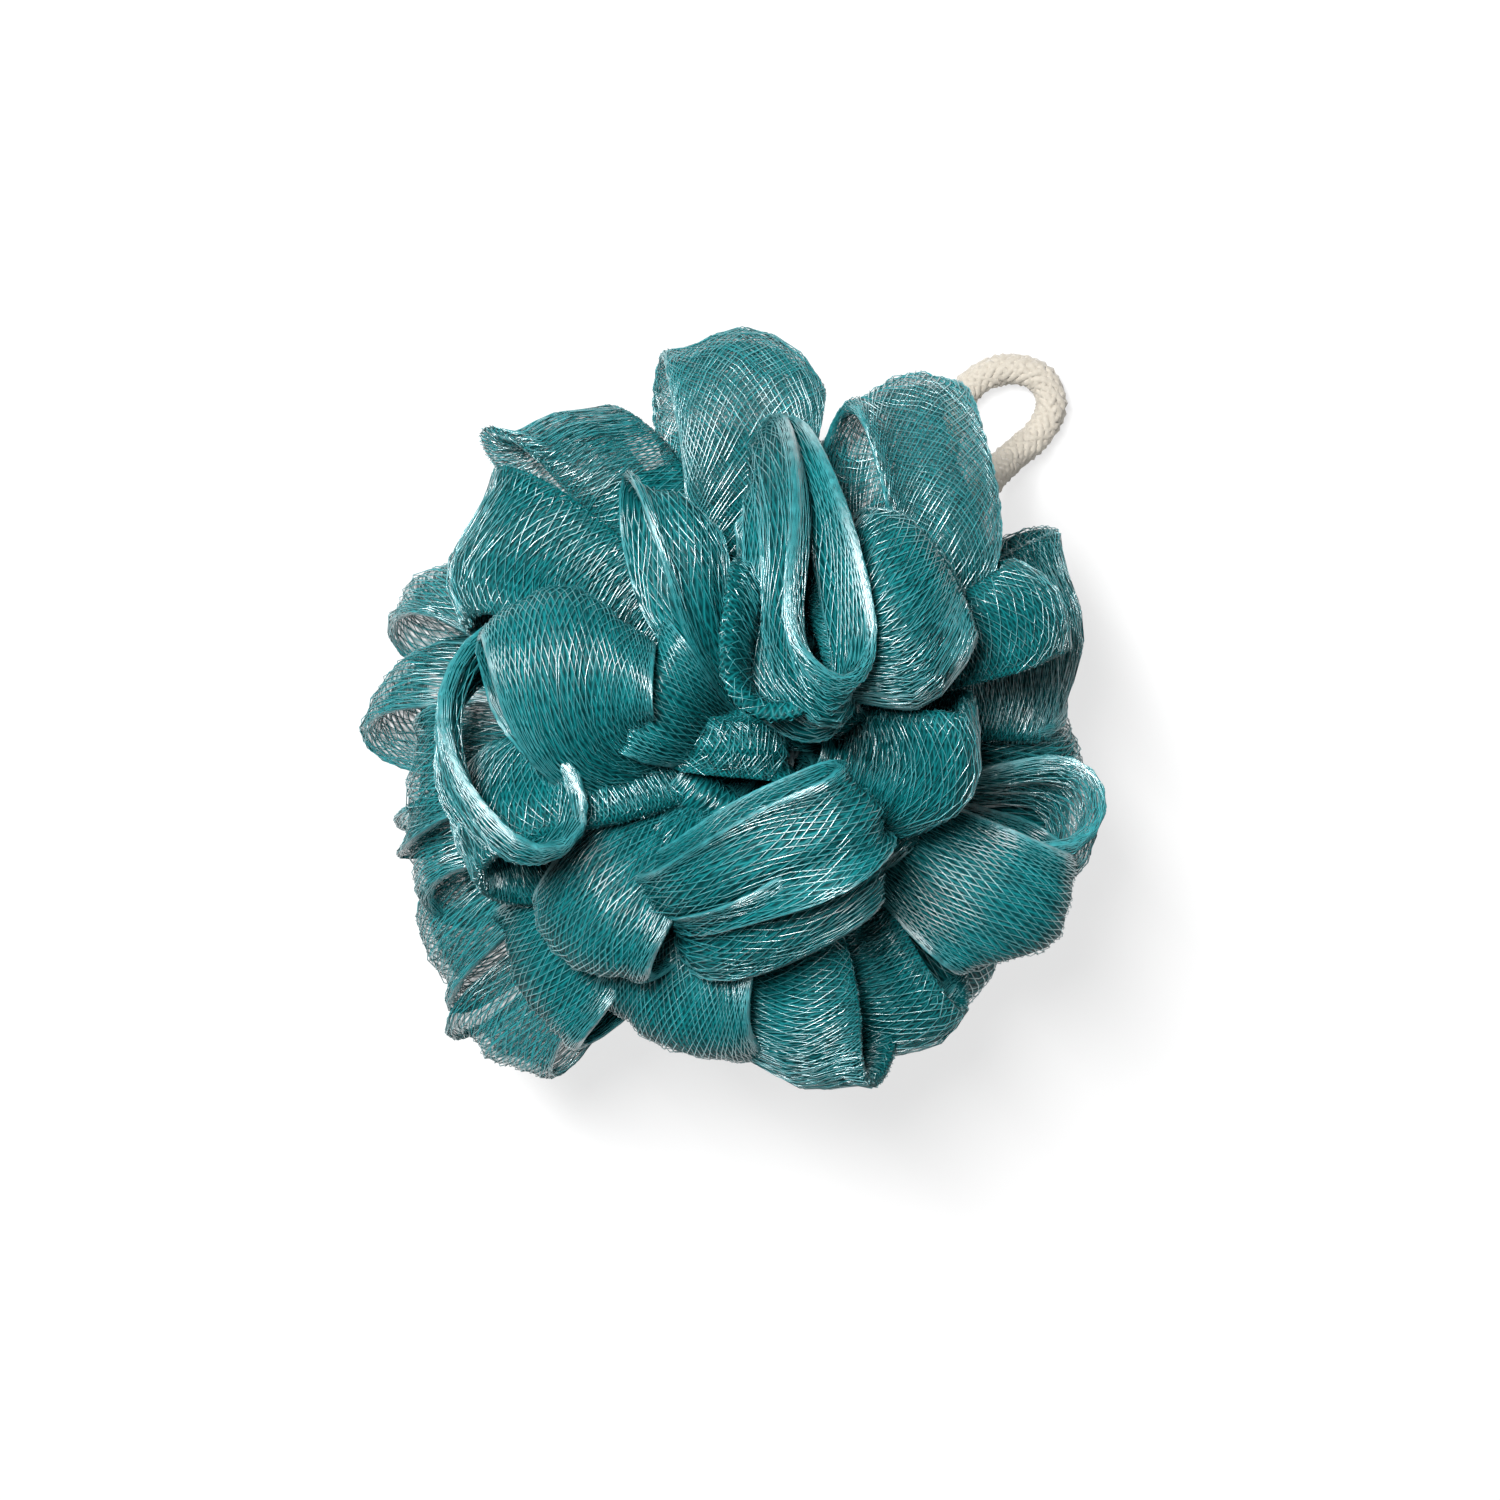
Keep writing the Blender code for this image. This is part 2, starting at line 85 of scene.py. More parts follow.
WEAVES = {
    Zone.UPPER: Weave(0.74 * MM, 5.2 * MM, 0.19 * MM),
    Zone.EDGE: Weave(0.95 * MM, 5.6 * MM, 0.20 * MM),
    Zone.UNDER: Weave(1.6 * MM, 7.6 * MM, 0.26 * MM),
}


@dataclass(frozen=True)
class Fold:
    """One loop of the net, in millimetres from the middle of the tie.

    bend and tip steer the middle line of the loop, which starts at the tie.
    half_width is half the flattened tube, half_gap half the space inside the
    loop, turn the angle in degrees of the tube's width away from upright.
    fullness moves the widest place towards the tip, cup bows the tube across
    its width, twist turns it, in degrees, from root to tip, and belly rounds
    the turn of a loop that leans back over the ball. slant is how steeply the
    threads wind round the tube, lined how far out its inner layers go, and
    dome rounds the tip when seen from its face.
    """

    bend: tuple[float, float, float]
    tip: tuple[float, float, float]
    half_width: float
    half_gap: float
    turn: float
    fullness: float = 1.6
    cup: float = 3.0
    twist: float = 0.0
    belly: tuple[float, float, float] = (0.0, 0.0, 0.0)
    slant: float = 0.15
    lined: float = 1.0
    dome: float = 0.0


UPPER_FOLDS = [
    # hood at the back edge
    Fold((-9, 42, 18), (-4, 68, 2), 14, 8.6, 86, 1.6, 3, 0, slant=0.75, lined=0.55, dome=0.4),
    # tall ring that leans back over the top, and the pocket in front of it
    Fold((-6, 94, 16), (9, 4, 44), 10.5, 5.6, 26, 1.5, 1, -10, (0, 4, 18)),
    Fold((-2, 48, 30), (3, 6, 38), 8, 7.5, 6, 1.8, 1, 0, (0, 2, 14), slant=3.6),
    # broad lobe beside the ring
    Fold((14, 54, 34), (23, 7, 36), 13, 6, 82, 1.3, 4, 0, (0, 2, 12), slant=3.3, dome=0.2),
    # back right
    Fold((44, 18, 36), (19, 61, 8), 12.5, 7, 56, 1.6, 4, 0, (0, 0, 4), 0.6, 0.5, 0.2),
    Fold((26, 16, 26), (46, 24, 18), 9, 6, 80, 1.6, 3, 10, slant=3.0, dome=0.3),
    Fold((28, 16, -4), (54, 20, -8), 18, 8, 80, 1.4, 4, 0, slant=3.6, dome=0.35),
    # right
    Fold((18, 0, 28), (33, -7, 28), 13, 7, 74, 1.6, 4, 0, slant=4.0, dome=0.25),
    Fold((30, -14, 2), (54, -17, 2), 9, 8.5, 24, 1.6, 3, 10, lined=0.7),
    Fold((25, -18, 14), (48, -33, 6), 14, 8, 86, 1.6, 4, 0, dome=0.3),
    # front
    Fold((14, -28, 8), (28, -50, 2), 10, 8, 75, 1.6, 3, 10, slant=4.0),
    Fold((6, -28, 24), (9, -56, 8), 12, 8.5, 66, 1.6, 3, -10, slant=4.0, dome=0.25),
    Fold((-8, -30, 24), (-17, -51, 10), 15, 8, 70, 1.6, 4, 10, slant=0.3, dome=0.25),
    Fold((-20, -14, 34), (-32, -36, 16), 13, 8, 66, 1.6, 4, 10, slant=0.25, dome=0.3),
    # two lobes laid over the middle
    Fold((-44, -42, 28), (15, -9, 40), 8.4, 5.6, 62, 1.3, 2, 6, (-4, -4, 14)),
    Fold((-34, -50, 22), (14, -19, 33), 9, 5, 70, 1.3, 2, 10, (-3, -4, 12)),
    # left
    Fold((-40, -12, 46), (-30, 24, 29), 14, 6, 88, 1.5, 4, 0, dome=0.32),
    Fold((-12, 14, 44), (-17, 39, 27), 7, 4.5, 44, 1.6, 3, 40),
    Fold((-22, 24, 24), (-50, 33, 11), 13, 8, 82, 1.5, -3, 0, slant=4.0, dome=0.25),
    Fold((-16, 36, 4), (-37, 56, -2), 12, 8.5, 66, 1.6, 4, 0, slant=3.6, lined=0.72),
    Fold((-66, 40, 18), (-37, -15, 30), 9, 8.4, 12, 1.5, 1, 10, (-4, 2, 8)),
    Fold((-22, -6, 34), (-50, -14, 16), 12, 8, 60, 1.6, 3, -15, slant=4.0),
    Fold((-22, -26, 16), (-41, -43, 2), 13, 8, 66, 1.6, 3, 10),
    # inner loops between the taller ones
    Fold((6, 24, 26), (12, 36, 22), 11, 7, 30, 1.6, 3, 20),
    Fold((-16, 2, 30), (-22, 11, 29), 11, 5, 84, 1.6, 3, 10),
    Fold((4, 18, 20), (8, 30, 27), 11, 6, 85, 1.6, 3, 10),
    Fold((22, 18, 14), (31, 26, 17), 11, 6, 60, 1.6, 3, -10),
    Fold((-4, 28, 4), (-7, 44, 8), 10, 6, 60, 1.6, 3, 10),
    Fold((-8, -14, 20), (-17, -25, 25), 10, 6, 70, 1.6, 3, 10),
    Fold((8, -12, 16), (15, -21, 20), 10, 6, 70, 1.6, 3, -10, slant=4.0),
]

# small inner loops that close in over the tie
MIDDLE_FOLDS = [
    Fold((-30, 2, 30), (1, 0, 21), 5.5, 3.5, 75, 1.5, 2, 0, slant=1.2),
    Fold((-16, -14, 14), (-6, -6, 20), 8, 4, 70, 1.5, 2, 0),
    Fold((14, 16, 20), (8, 3, 22), 6, 3.5, 20, 1.5, 2, 0),
    Fold((12, -6, 16), (15, -1, 21), 7, 4, 75, 1.5, 2, 0),
]

EDGE_FOLDS = [
    # left edge
    Fold((-34, 14, -4), (-62, 26, -6), 8, 6, 60, 1.6, 3, 0, lined=0.7),
    Fold((-34, 6, -6), (-66, 9, -8), 9, 8, 40, 1.6, 3, 0, lined=0.7),
    Fold((-34, -2, 8), (-61, -6, 4), 11, 8, 70, 1.6, 3, 10, lined=0.7),
    Fold((-34, -12, 0), (-62, -20, -4), 10, 8, 60, 1.6, 3, 0, lined=0.7),
    Fold((-32, -18, -4), (-58, -35, -8), 10, 8, 60, 1.6, 3, 0, lined=0.7),
    Fold((-26, -28, -6), (-48, -54, -8), 9, 5, 70, 1.6, 3, 0, lined=0.7),
    # front edge
    Fold((-4, -28, -8), (-4, -51, -14), 14, 8, 80, 1.6, 3, 0),
    Fold((18, -24, -8), (35, -43, -14), 12, 8, 70, 1.6, 3, 0),
    # right edge
    Fold((30, -4, -10), (54, 0, -14), 11, 8, 60, 1.6, 3, 0, lined=0.7),
    # back edge
    Fold((4, 28, -12), (5, 50, -18), 12, 8, 70, 1.6, 3, 0),
    Fold((-22, 28, -10), (-40, 38, -18), 13, 8, 60, 1.6, 3, 0),
]

# Rings of loops on the underside: angle from straight up, how many, first
# bearing and reach
UNDER_RINGS = [(116.0, 7, 92.0, 59.0), (152.0, 6, 20.0, 64.0), (174.0, 2, 60.0, 59.0)]
UNDER_SEED = 11

# Least and most of their half width, half gap and turn, and of cup and twist
UNDER_SIZES = [(14, 18), (7, 9), (20, 160)]
UNDER_BENDS = [(-4, 4), (-20, 20)]

# Route of the hanging cord in its own upright plane: distance out from the
# axis, distance to the side and height above the floor, in millimetres
CORD_ROUTE = [
    (12.5, -4.0, 50.0),
    (26.0, -4.0, 48.0),
    (40.0, -4.0, 41.0),
    (52.0, -3.2, 29.0),
    (61.0, -2.8, 16.0),
    (68.5, -3.4, 6.8),
    (75.5, -4.9, 3.7),
    (81.5, -4.0, 3.6),
    (84.6, 0.6, 3.6),
    (83.2, 5.6, 3.6),
    (79.0, 9.4, 3.6),
    (73.5, 10.6, 3.8),
    (67.5, 9.4, 7.0),
    (60.5, 6.8, 16.0),
    (52.0, 5.0, 29.0),
    (40.0, 4.2, 41.0),
    (26.0, 4.0, 48.0),
    (12.5, 4.0, 50.0),
]


# Meshes and vectors


def unit(vectors: np.ndarray) -> np.ndarray:
    """Return the vectors of the last axis at length one."""
    return vectors / np.maximum(np.linalg.norm(vectors, axis=-1, keepdims=True), 1e-12)


def carry(vector: np.ndarray, before: np.ndarray, after: np.ndarray) -> np.ndarray:
    """Turn a vector square to one direction so that it is square to another.

    The smallest turn that takes unit vector a to unit vector b moves v, which
    is square to a, to v - (b.v) / (1 + a.b) * (a + b).

    Args:
        vector: vector square to the first direction.
        before: first unit direction.
        after: unit directions to turn to, on the last axis.

    Returns:
        The turned vectors.
    """
    lean = (after * vector).sum(-1, keepdims=True)
    both = 1.0 + (after * before).sum(-1, keepdims=True)
    return vector - lean / both * (before + after)


def make_mesh(
    name: str, points: np.ndarray, quads: np.ndarray, triangles: np.ndarray
) -> bpy.types.Mesh:
    """Put whole arrays of points and faces into a smooth mesh.

    Args:
        name: name of the mesh.
        points: corner places, one row each.
        quads: four corner numbers a row.
        triangles: three corner numbers a row.

    Returns:
        The new mesh.
    """
    mesh = bpy.data.meshes.new(name)
    corners = np.concatenate([quads.ravel(), triangles.ravel()]).astype(np.int32)
    starts = np.concatenate(
        [
            np.arange(len(quads)) * 4,
            4 * len(quads) + np.arange(len(triangles)) * 3,
        ]
    ).astype(np.int32)
    mesh.vertices.add(len(points))
    mesh.vertices.foreach_set("co", points.astype(np.float32).ravel())
    mesh.loops.add(len(corners))
    mesh.loops.foreach_set("vertex_index", corners)
    mesh.polygons.add(len(starts))
    mesh.polygons.foreach_set("loop_start", starts)
    mesh.polygons.foreach_set("use_smooth", np.ones(len(starts), dtype=bool))
    mesh.update(calc_edges=True)
    mesh.validate()
    return mesh


def thread_arrays(
    lines: np.ndarray, beside: np.ndarray, width: float, sides: int
) -> Arrays:
    """Give thread lines a round section with closed ends.

    A point of the skin is line + width / 2 * (cos(a) * beside + sin(a) * over),
    with a running once round and over square to the line and to beside.

    Args:
        lines: middle lines, strands by steps by three.
        beside: rough sideways directions, same shape.
        width: thread width.
        sides: corners of the section.

    Returns:
        Points, quads and end triangles.
    """
    ahead = unit(np.gradient(lines, axis=1))
    aside = unit(beside - (beside * ahead).sum(-1, keepdims=True) * ahead)
    over = np.cross(ahead, aside)
    turn = np.arange(sides) * 2 * math.pi / sides
    skin = lines[:, :, None, :] + 0.5 * width * (
        np.cos(turn)[:, None] * aside[:, :, None, :]
        + np.sin(turn)[:, None] * over[:, :, None, :]
    )
    count, steps = lines.shape[:2]
    order = np.arange(count * steps * sides).reshape(count, steps, sides)
    following = np.roll(order, -1, axis=2)
    quads = np.stack(
        [order[:, :-1], following[:, :-1], following[:, 1:], order[:, 1:]], axis=-1
    ).reshape(-1, 4)
    fans = []
    for corner in range(1, sides - 1):
        fans.append(
            np.stack([order[:, 0, 0], order[:, 0, corner + 1], order[:, 0, corner]], -1)
        )
        fans.append(
            np.stack([order[:, -1, 0], order[:, -1, corner], order[:, -1, corner + 1]], -1)
        )
    return skin.reshape(-1, 3), quads, np.concatenate(fans)


def join_arrays(parts: list[Arrays]) -> Arrays:
    """Join several sets of points, quads and triangles into one.

    Args:
        parts: points, quads and triangles of each set.

    Returns:
        Points, quads and triangles of them all.
    """
    shift = np.cumsum([0] + [len(part[0]) for part in parts])
    return (
        np.concatenate([part[0] for part in parts]),
        np.concatenate([part[1] + move for part, move in zip(parts, shift)]),
        np.concatenate([part[2] + move for part, move in zip(parts, shift)]),
    )


def skin_area(points: np.ndarray, quads: np.ndarray) -> float:
    """Return the area of quads: half the cross product of the diagonals, summed.

    Args:
        points: corner places.
        quads: four corner numbers a row.

    Returns:
        The area in square metres.
    """
    corners = points[quads]
    across = np.cross(corners[:, 2] - corners[:, 0], corners[:, 3] - corners[:, 1])
    return float(np.linalg.norm(across, axis=1).sum() / 2)


def add_piece(name: str, mesh: bpy.types.Mesh, material: bpy.types.Material) -> bpy.types.Object:
    """Return a new piece at the origin with one material.

    Args:
        name: name of the piece.
        mesh: its mesh.
        material: its finish.

    Returns:
        The piece.
    """
    piece = bpy.data.objects.new(name, mesh)
    bpy.context.scene.collection.objects.link(piece)
    mesh.materials.append(material)
    return piece


def stand_for(piece: bpy.types.Object, node: str) -> None:
    """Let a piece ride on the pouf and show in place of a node.

    Args:
        piece: new piece.
        node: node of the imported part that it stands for.
    """
    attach(piece, "root")
    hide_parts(node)


# Finishes


class NodeGraph:
    """Nodes of one new material, with short ways to add and join them."""

    def __init__(self, name: str) -> None:
        """Start the material with its main shader alone.

        Args:
            name: name of the material.
        """
        self.material = bpy.data.materials.new(name)
        self.material.use_nodes = True
        self.nodes = self.material.node_tree.nodes
        self.links = self.material.node_tree.links
        self.shader = self.nodes["Principled BSDF"]

    def feed(self, node: bpy.types.Node, values: dict[str | int, object]) -> None:
        """Join sockets to the inputs of a node and set its other inputs.

        Args:
            node: node to feed.
            values: socket, number or colour for each input.
        """
        for slot, value in values.items():
            if isinstance(value, bpy.types.NodeSocket):
                self.links.new(value, node.inputs[slot])
            else:
                node.inputs[slot].default_value = value

    def add(self, kind: str, values: dict[str | int, object]) -> bpy.types.Node:
        """Return a new node with its inputs fed.

        Args:
            kind: type of the node.
            values: socket, number or colour for each input.

        Returns:
            The node.
        """
        node = self.nodes.new(kind)
        self.feed(node, values)
        return node

    def place(self, output: str) -> bpy.types.NodeSocket:
        """Return the object's own coordinates or the marks of its mesh."""
        return self.nodes.new("ShaderNodeTexCoord").outputs[output]

    def noise(self, scale: float, detail: float) -> bpy.types.NodeSocket:
        """Return soft noise on the object's own coordinates."""
        values = {"Vector": self.place("Object"), "Scale": scale, "Detail": detail}
        return self.add("ShaderNodeTexNoise", values).outputs["Fac"]

    def maths(self, kind: str, *values: bpy.types.NodeSocket | float) -> bpy.types.NodeSocket:
        """Return the output of one maths node fed with sockets or numbers.

        Args:
            kind: operation of the node.
            values: its sockets or numbers, in order.

        Returns:
            The output socket.
        """
        node = self.add("ShaderNodeMath", dict(enumerate(values)))
        node.operation = kind
        return node.outputs["Value"]

    def mixed(
        self,
        share: bpy.types.NodeSocket,
        first: Colour | bpy.types.NodeSocket,
        second: Colour | bpy.types.NodeSocket,
    ) -> bpy.types.NodeSocket:
        """Return a colour that goes from the first to the second with the share.

        Args:
            share: how far it goes, from none to one.
            first: colour at none.
            second: colour at one.

        Returns:
            The output socket.
        """
        node = self.nodes.new("ShaderNodeMix")
        node.data_type = "RGBA"
        for slot, value in (("A", first), ("B", second)):
            self.feed(node, {slot: (*value, 1.0) if isinstance(value, tuple) else value})
        self.feed(node, {"Factor": share})
        return node.outputs["Result"]

    def bump(
        self, height: bpy.types.NodeSocket, strength: float, distance: float
    ) -> bpy.types.NodeSocket:
        """Return the surface direction of a fine relief."""
        values = {"Height": height, "Strength": strength, "Distance": distance}
        return self.add("ShaderNodeBump", values).outputs["Normal"]


@dataclass(frozen=True)
class NetFinish:
    """Glossy soft plastic thread of the net."""

    deep: Colour = (0.008, 0.205, 0.226)
    light: Colour = (0.032, 0.350, 0.384)
    patch_scale: float = 55.0
    thread_scale: float = 900.0
    noise_range: tuple[float, float] = (0.7, 1.3)
    roughness: float = 0.30
    coat: float = 1.0
    coat_index: float = 2.8
    coat_roughness: float = 0.28

    def material(self, name: str) -> bpy.types.Material:
        """Return the material: two teals mixed by broad and by fine noise.

        Args:
            name: name of the material.

        Returns:
            The material.
        """
        graph = NodeGraph(name)
        both = graph.maths(
            "ADD", graph.noise(self.patch_scale, 2.0), graph.noise(self.thread_scale, 1.0)
        )
        low, high = self.noise_range
        spread = graph.add("ShaderNodeMapRange", {"Value": both, "From Min": low, "From Max": high})
        values = {
            "Base Color": graph.mixed(spread.outputs["Result"], self.deep, self.light),
            "Roughness": self.roughness,
            "Specular IOR Level": 0.5 * self.coat,
            "Coat Weight": self.coat,
            "Coat IOR": self.coat_index,
            "Coat Roughness": self.coat_roughness,
        }
        graph.feed(graph.shader, values)
        return graph.material


@dataclass(frozen=True)
class DenseNetFinish:
    """Net of many layers, drawn as close rows of crossing threads, with painted shade between the
    threads.
    """

    # near-black between the threads: painted shade of the deeper layers
    painted_gap_shade: Colour = (0.000, 0.030, 0.034)
    # the default teals are a darker copy of the net's teal: painted shade of the inner layers
    deep: Colour = (0.002, 0.125, 0.135)
    light: Colour = (0.008, 0.235, 0.250)
    patch_scale: float = 70.0
    wander: float = 1.2
    narrowness: float = 3.0
    faintest: float = 0.4
    relief: float = 0.20 * MM
    roughness: float = 0.5
    gloss: float = 0.1
    coat_level: float = 0.04
    coat_index: float = 2.1
    coat_roughness: float = 0.26
    cover: float = 0.85
    see_through: float = 0.0

    def threads(self, graph: NodeGraph, mark: bpy.types.NodeSocket) -> bpy.types.NodeSocket:
        """Return where one family of threads lies, from none to one.

        The marks of the mesh count the threads, so |sin(pi * mark)| ** 3 is one
        on a thread and none between two. It is scaled by a chance number of
        its own for each thread.

        Args:
            graph: nodes of the material.
            mark: count of the threads.

        Returns:
            The level of the threads.
        """
        wave = graph.maths("SINE", graph.maths("MULTIPLY", mark, math.pi))
        chance = graph.nodes.new("ShaderNodeTexWhiteNoise")
        chance.noise_dimensions = "1D"
        graph.feed(chance, {"W": graph.maths("FLOOR", mark)})
        scaled = graph.maths("MULTIPLY", chance.outputs["Value"], 1 - self.faintest)
        narrow = graph.maths("POWER", graph.maths("ABSOLUTE", wave), self.narrowness)
        return graph.maths("MULTIPLY", narrow, graph.maths("ADD", scaled, self.faintest))

    def material(self, name: str) -> bpy.types.Material:
        """Return the material.

        The higher of both families of threads gives colour, gloss and relief,
        and in an open net also how solid it is. Between the threads the colour is painted shade.

        Args:
            name: name of the material.

        Returns:
            The material.
        """
        graph = NodeGraph(name)
        broad = graph.noise(self.patch_scale, 2.0)
        marks = graph.add("ShaderNodeSeparateXYZ", {"Vector": graph.place("UV")})
        shift = graph.maths("MULTIPLY", broad, self.wander)
        families = [graph.maths("ADD", marks.outputs[axis], shift) for axis in ("X", "Y")]
        level = graph.maths("MAXIMUM", *(self.threads(graph, mark) for mark in families))
        teal = graph.mixed(broad, self.deep, self.light)
        normal = graph.bump(level, 1.0, self.relief)
        values = {
            # between the threads the base colour is the painted shade
            "Base Color": graph.mixed(level, self.painted_gap_shade, teal),
            "Roughness": self.roughness,
            "Specular IOR Level": self.gloss,
            "Coat Weight": graph.maths("MULTIPLY", level, self.coat_level),
            "Coat IOR": self.coat_index,
            "Coat Roughness": self.coat_roughness,
            "Normal": normal,
            "Coat Normal": normal,
        }
        if self.see_through > 0:
            solid = graph.maths("MULTIPLY", level, self.cover)
            values["Alpha"] = graph.maths("ADD", solid, 1 - self.see_through)
        graph.feed(graph.shader, values)
        return graph.material


@dataclass(frozen=True)
class CottonFinish:
    """Matt cotton yarn of the hanging cord."""

    shade: Colour = (0.36, 0.325, 0.265)
    light: Colour = (0.60, 0.555, 0.485)
    fibre_scale: float = 1400.0
    fibre_relief: float = 0.1 * MM
    roughness: float = 0.92
    sheen: float = 0.3

    def material(self, name: str) -> bpy.types.Material:
        """Return the material: fine noise for fibres in colour and bump.

        Args:
            name: name of the material.

        Returns:
            The material.
        """
        graph = NodeGraph(name)
        fibre = graph.noise(self.fibre_scale, 4.0)
        values = {
            "Base Color": graph.mixed(fibre, self.shade, self.light),
            "Roughness": self.roughness,
            "Sheen Weight": self.sheen,
            "Normal": graph.bump(fibre, 0.5, self.fibre_relief),
        }
        graph.feed(graph.shader, values)
        return graph.material


OUTER_NET = NetFinish()
# inner layers in a darker teal: painted shade inside the tubes
SHADED_INNER_NET = DenseNetFinish()
OPEN_NET = DenseNetFinish(see_through=0.92, deep=(0.012, 0.19, 0.205), light=(0.034, 0.34, 0.365))
# near-black teal of the bunched core: painted shade in the hollow under the tie
SHADED_CORE_NET = NetFinish(
    deep=(0.000, 0.012, 0.014), light=(0.001, 0.024, 0.027), roughness=0.9, coat=0.0
)
CREAM_COTTON = CottonFinish()
GREY_COTTON = CottonFinish(shade=(0.20, 0.29, 0.31), light=(0.42, 0.50, 0.51))


# The net


@dataclass(frozen=True)
class NetLoop:
    """Soft flattened tube of net bent into one loop.

    The phase gives each loop its own ripples and chance numbers. The fields
    stand in groups: the tube and its middle line, the creases of the cloth,
    the space that the ball leaves, the threads, and the inner layers.
    """

    fold: Fold
    phase: float
    zone: Zone

    puff: float = 1.25 * MM
    root_puff: float = 0.3
    puff_growth: float = 1.2
    least_flat: float = 0.2
    root_width: float = 0.12
    widening: float = 0.75
    loop_power: float = 0.8
    least_cosine: float = 1e-5
    table_steps: int = 400
    tip_speed: float = 62 * MM
    root_depth: float = 8 * MM
    twist_centre: float = 0.6
    edge_drop: float = 0.30
    edge_change: float = 0.16
    lopsided: float = 0.24

    ripple: float = 1.2 * MM
    ripple_count: float = 1.7
    ripple_turn: float = 1.1
    tip_calm: float = 0.75
    pleat: float = 0.55 * MM
    pleat_count: float = 5.3
    pleat_fade: float = 0.6
    ruffle: float = 2.0 * MM
    ruffle_count: float = 5.0
    lip: float = 4.5 * MM
    lip_start: float = 0.5
    lip_limit: float = 1.2
    sway: float = 1.5 * MM
    wave: float = 0.9 * MM
    wave_length: float = 40 * MM

    press_top: float = 24 * MM
    press_low: float = -8.0 * MM
    rest_depth: float = 0.5 * MM

    edge_crowding: float = 0.74
    loose: float = 0.45
    wiggle: float = 0.12
    wiggle_count: float = 6.0
    wiggle_start: float = 6.28
    drift_count: float = 2.2
    bend_weight: float = 0.35
    root_crowding: float = 0.15
    fine_steps: int = 361
    length_steps: int = 241
    least_threads: int = 12
    least_steps: int = 14
    thread_sides: int = 3
    beside_share: float = 0.004

    lining_columns: int = 12
    lining_rows: int = 36
    lining_edge: float = 0.035
    lining_depth: float = 0.36
    lining_spacing: float = 0.70 * MM
    lining_crowding: float = 0.5

    def steering_points(self) -> tuple[np.ndarray, np.ndarray, np.ndarray]:
        """Return the three points that steer the middle line after the tie.

        Returns:
            Two points on the way and the tip.
        """
        bend = np.array(self.fold.bend) * MM
        tip = np.array(self.fold.tip) * MM
        belly = np.array(self.fold.belly) * MM
        return 2 / 3 * bend - belly, 2 / 3 * bend + tip / 3 + belly, tip

    def way_out(self, angle: np.ndarray) -> np.ndarray:
        """Return how far out the loop is, from 0 at the tie to 1 at its round tip.

        With s = 1 - cos(angle) ** power the way is 1 - s * (b + (1 - b) * s ** 2),
        where b below one keeps the tip of a long loop round.

        Args:
            angle: place along the loop.

        Returns:
            Shares of the way out, same shape.
        """
        _, second, tip = self.steering_points()
        blunt = min(1.0, self.tip_speed / (3 * float(np.linalg.norm(tip - second))))
        short = 1 - np.maximum(np.cos(angle), self.least_cosine) ** self.loop_power
        return 1 - short * (blunt + (1 - blunt) * short**2)

    def way_table(self) -> tuple[np.ndarray, np.ndarray]:
        """Return how far out the loop is for a row of falling angles."""
        angles = np.linspace(0.5 * math.pi, 0.0, self.table_steps)
        return self.way_out(angles), angles

    def root_angle(self) -> float:
        """Return the angle at which a leg of the loop goes into the core.

        Returns:
            The angle, just under a right one.
        """
        first = self.steering_points()[0]
        root = self.root_depth / (3 * float(np.linalg.norm(first)))
        return float(np.interp(root, *self.way_table()))

    def loop_line(self, angle: np.ndarray) -> tuple[np.ndarray, np.ndarray]:
        """Return how far out the loop is and how far it stands to its side.

        The side distance is the half gap times sin(angle) * cos(angle) ** p,
        scaled to reach one at its widest.

        Args:
            angle: place along the loop.

        Returns:
            Shares of the way out and distances to the side.
        """
        power = self.fold.fullness
        peak = math.sqrt(1 / (1 + power)) * (power / (1 + power)) ** (power / 2)
        cosine = np.maximum(np.cos(angle), self.least_cosine)
        half_gap = self.fold.half_gap * MM
        return self.way_out(angle), half_gap * np.sin(angle) * cosine**power / peak

    def section(
        self, share: np.ndarray, flat: np.ndarray, puff: np.ndarray
    ) -> tuple[np.ndarray, np.ndarray]:
        """Return the places across and through the flattened tube.

        The section is two flat faces of width 2 * flat joined by two half
        circles of radius puff, and share runs once round it from the middle
        of one half circle.

        Args:
            share: place round the tube, from 0 to 1.
            flat: half width of the flat faces.
            puff: half thickness of the tube.

        Returns:
            Distance across the tube and, from -1 to 1, through it.
        """
        bow = math.pi * puff
        whole = 4 * flat + 2 * bow
        at = np.mod(share * whole - 0.5 * bow, whole)
        places = [at < 2 * flat, at < 2 * flat + bow, at < 4 * flat + bow]
        across = np.select(
            places,
            [flat - at, -flat - puff * np.sin((at - 2 * flat) / puff), at - 3 * flat - bow],
            flat + puff * np.sin((at - 4 * flat - bow) / puff),
        )
        through = np.select(
            places,
            [np.ones_like(at), np.cos((at - 2 * flat) / puff), -np.ones_like(at)],
            -np.cos((at - 4 * flat - bow) / puff),
        )
        return across, through

    def middle_line(self, out: np.ndarray) -> tuple[np.ndarray, np.ndarray]:
        """Return places and slopes of the middle line, a cubic curve of four points.

        The place is 3 * t * (1 - t) ** 2 * a + 3 * t ** 2 * (1 - t) * b + t ** 3 * c,
        with t how far out and the tie itself as the first point.

        Args:
            out: how far out, from 0 to 1.

        Returns:
            Places and slopes, with one more axis for x, y and z.
        """
        first, second, tip = self.steering_points()
        part = out[..., None]
        middle = (
            3 * part * (1 - part) ** 2 * first
            + 3 * part**2 * (1 - part) * second
            + part**3 * tip
        )
        slope = (
            3 * (1 - part) ** 2 * first
            + 6 * part * (1 - part) * (second - first)
            + 3 * part**2 * (tip - second)
        )
        return middle, slope

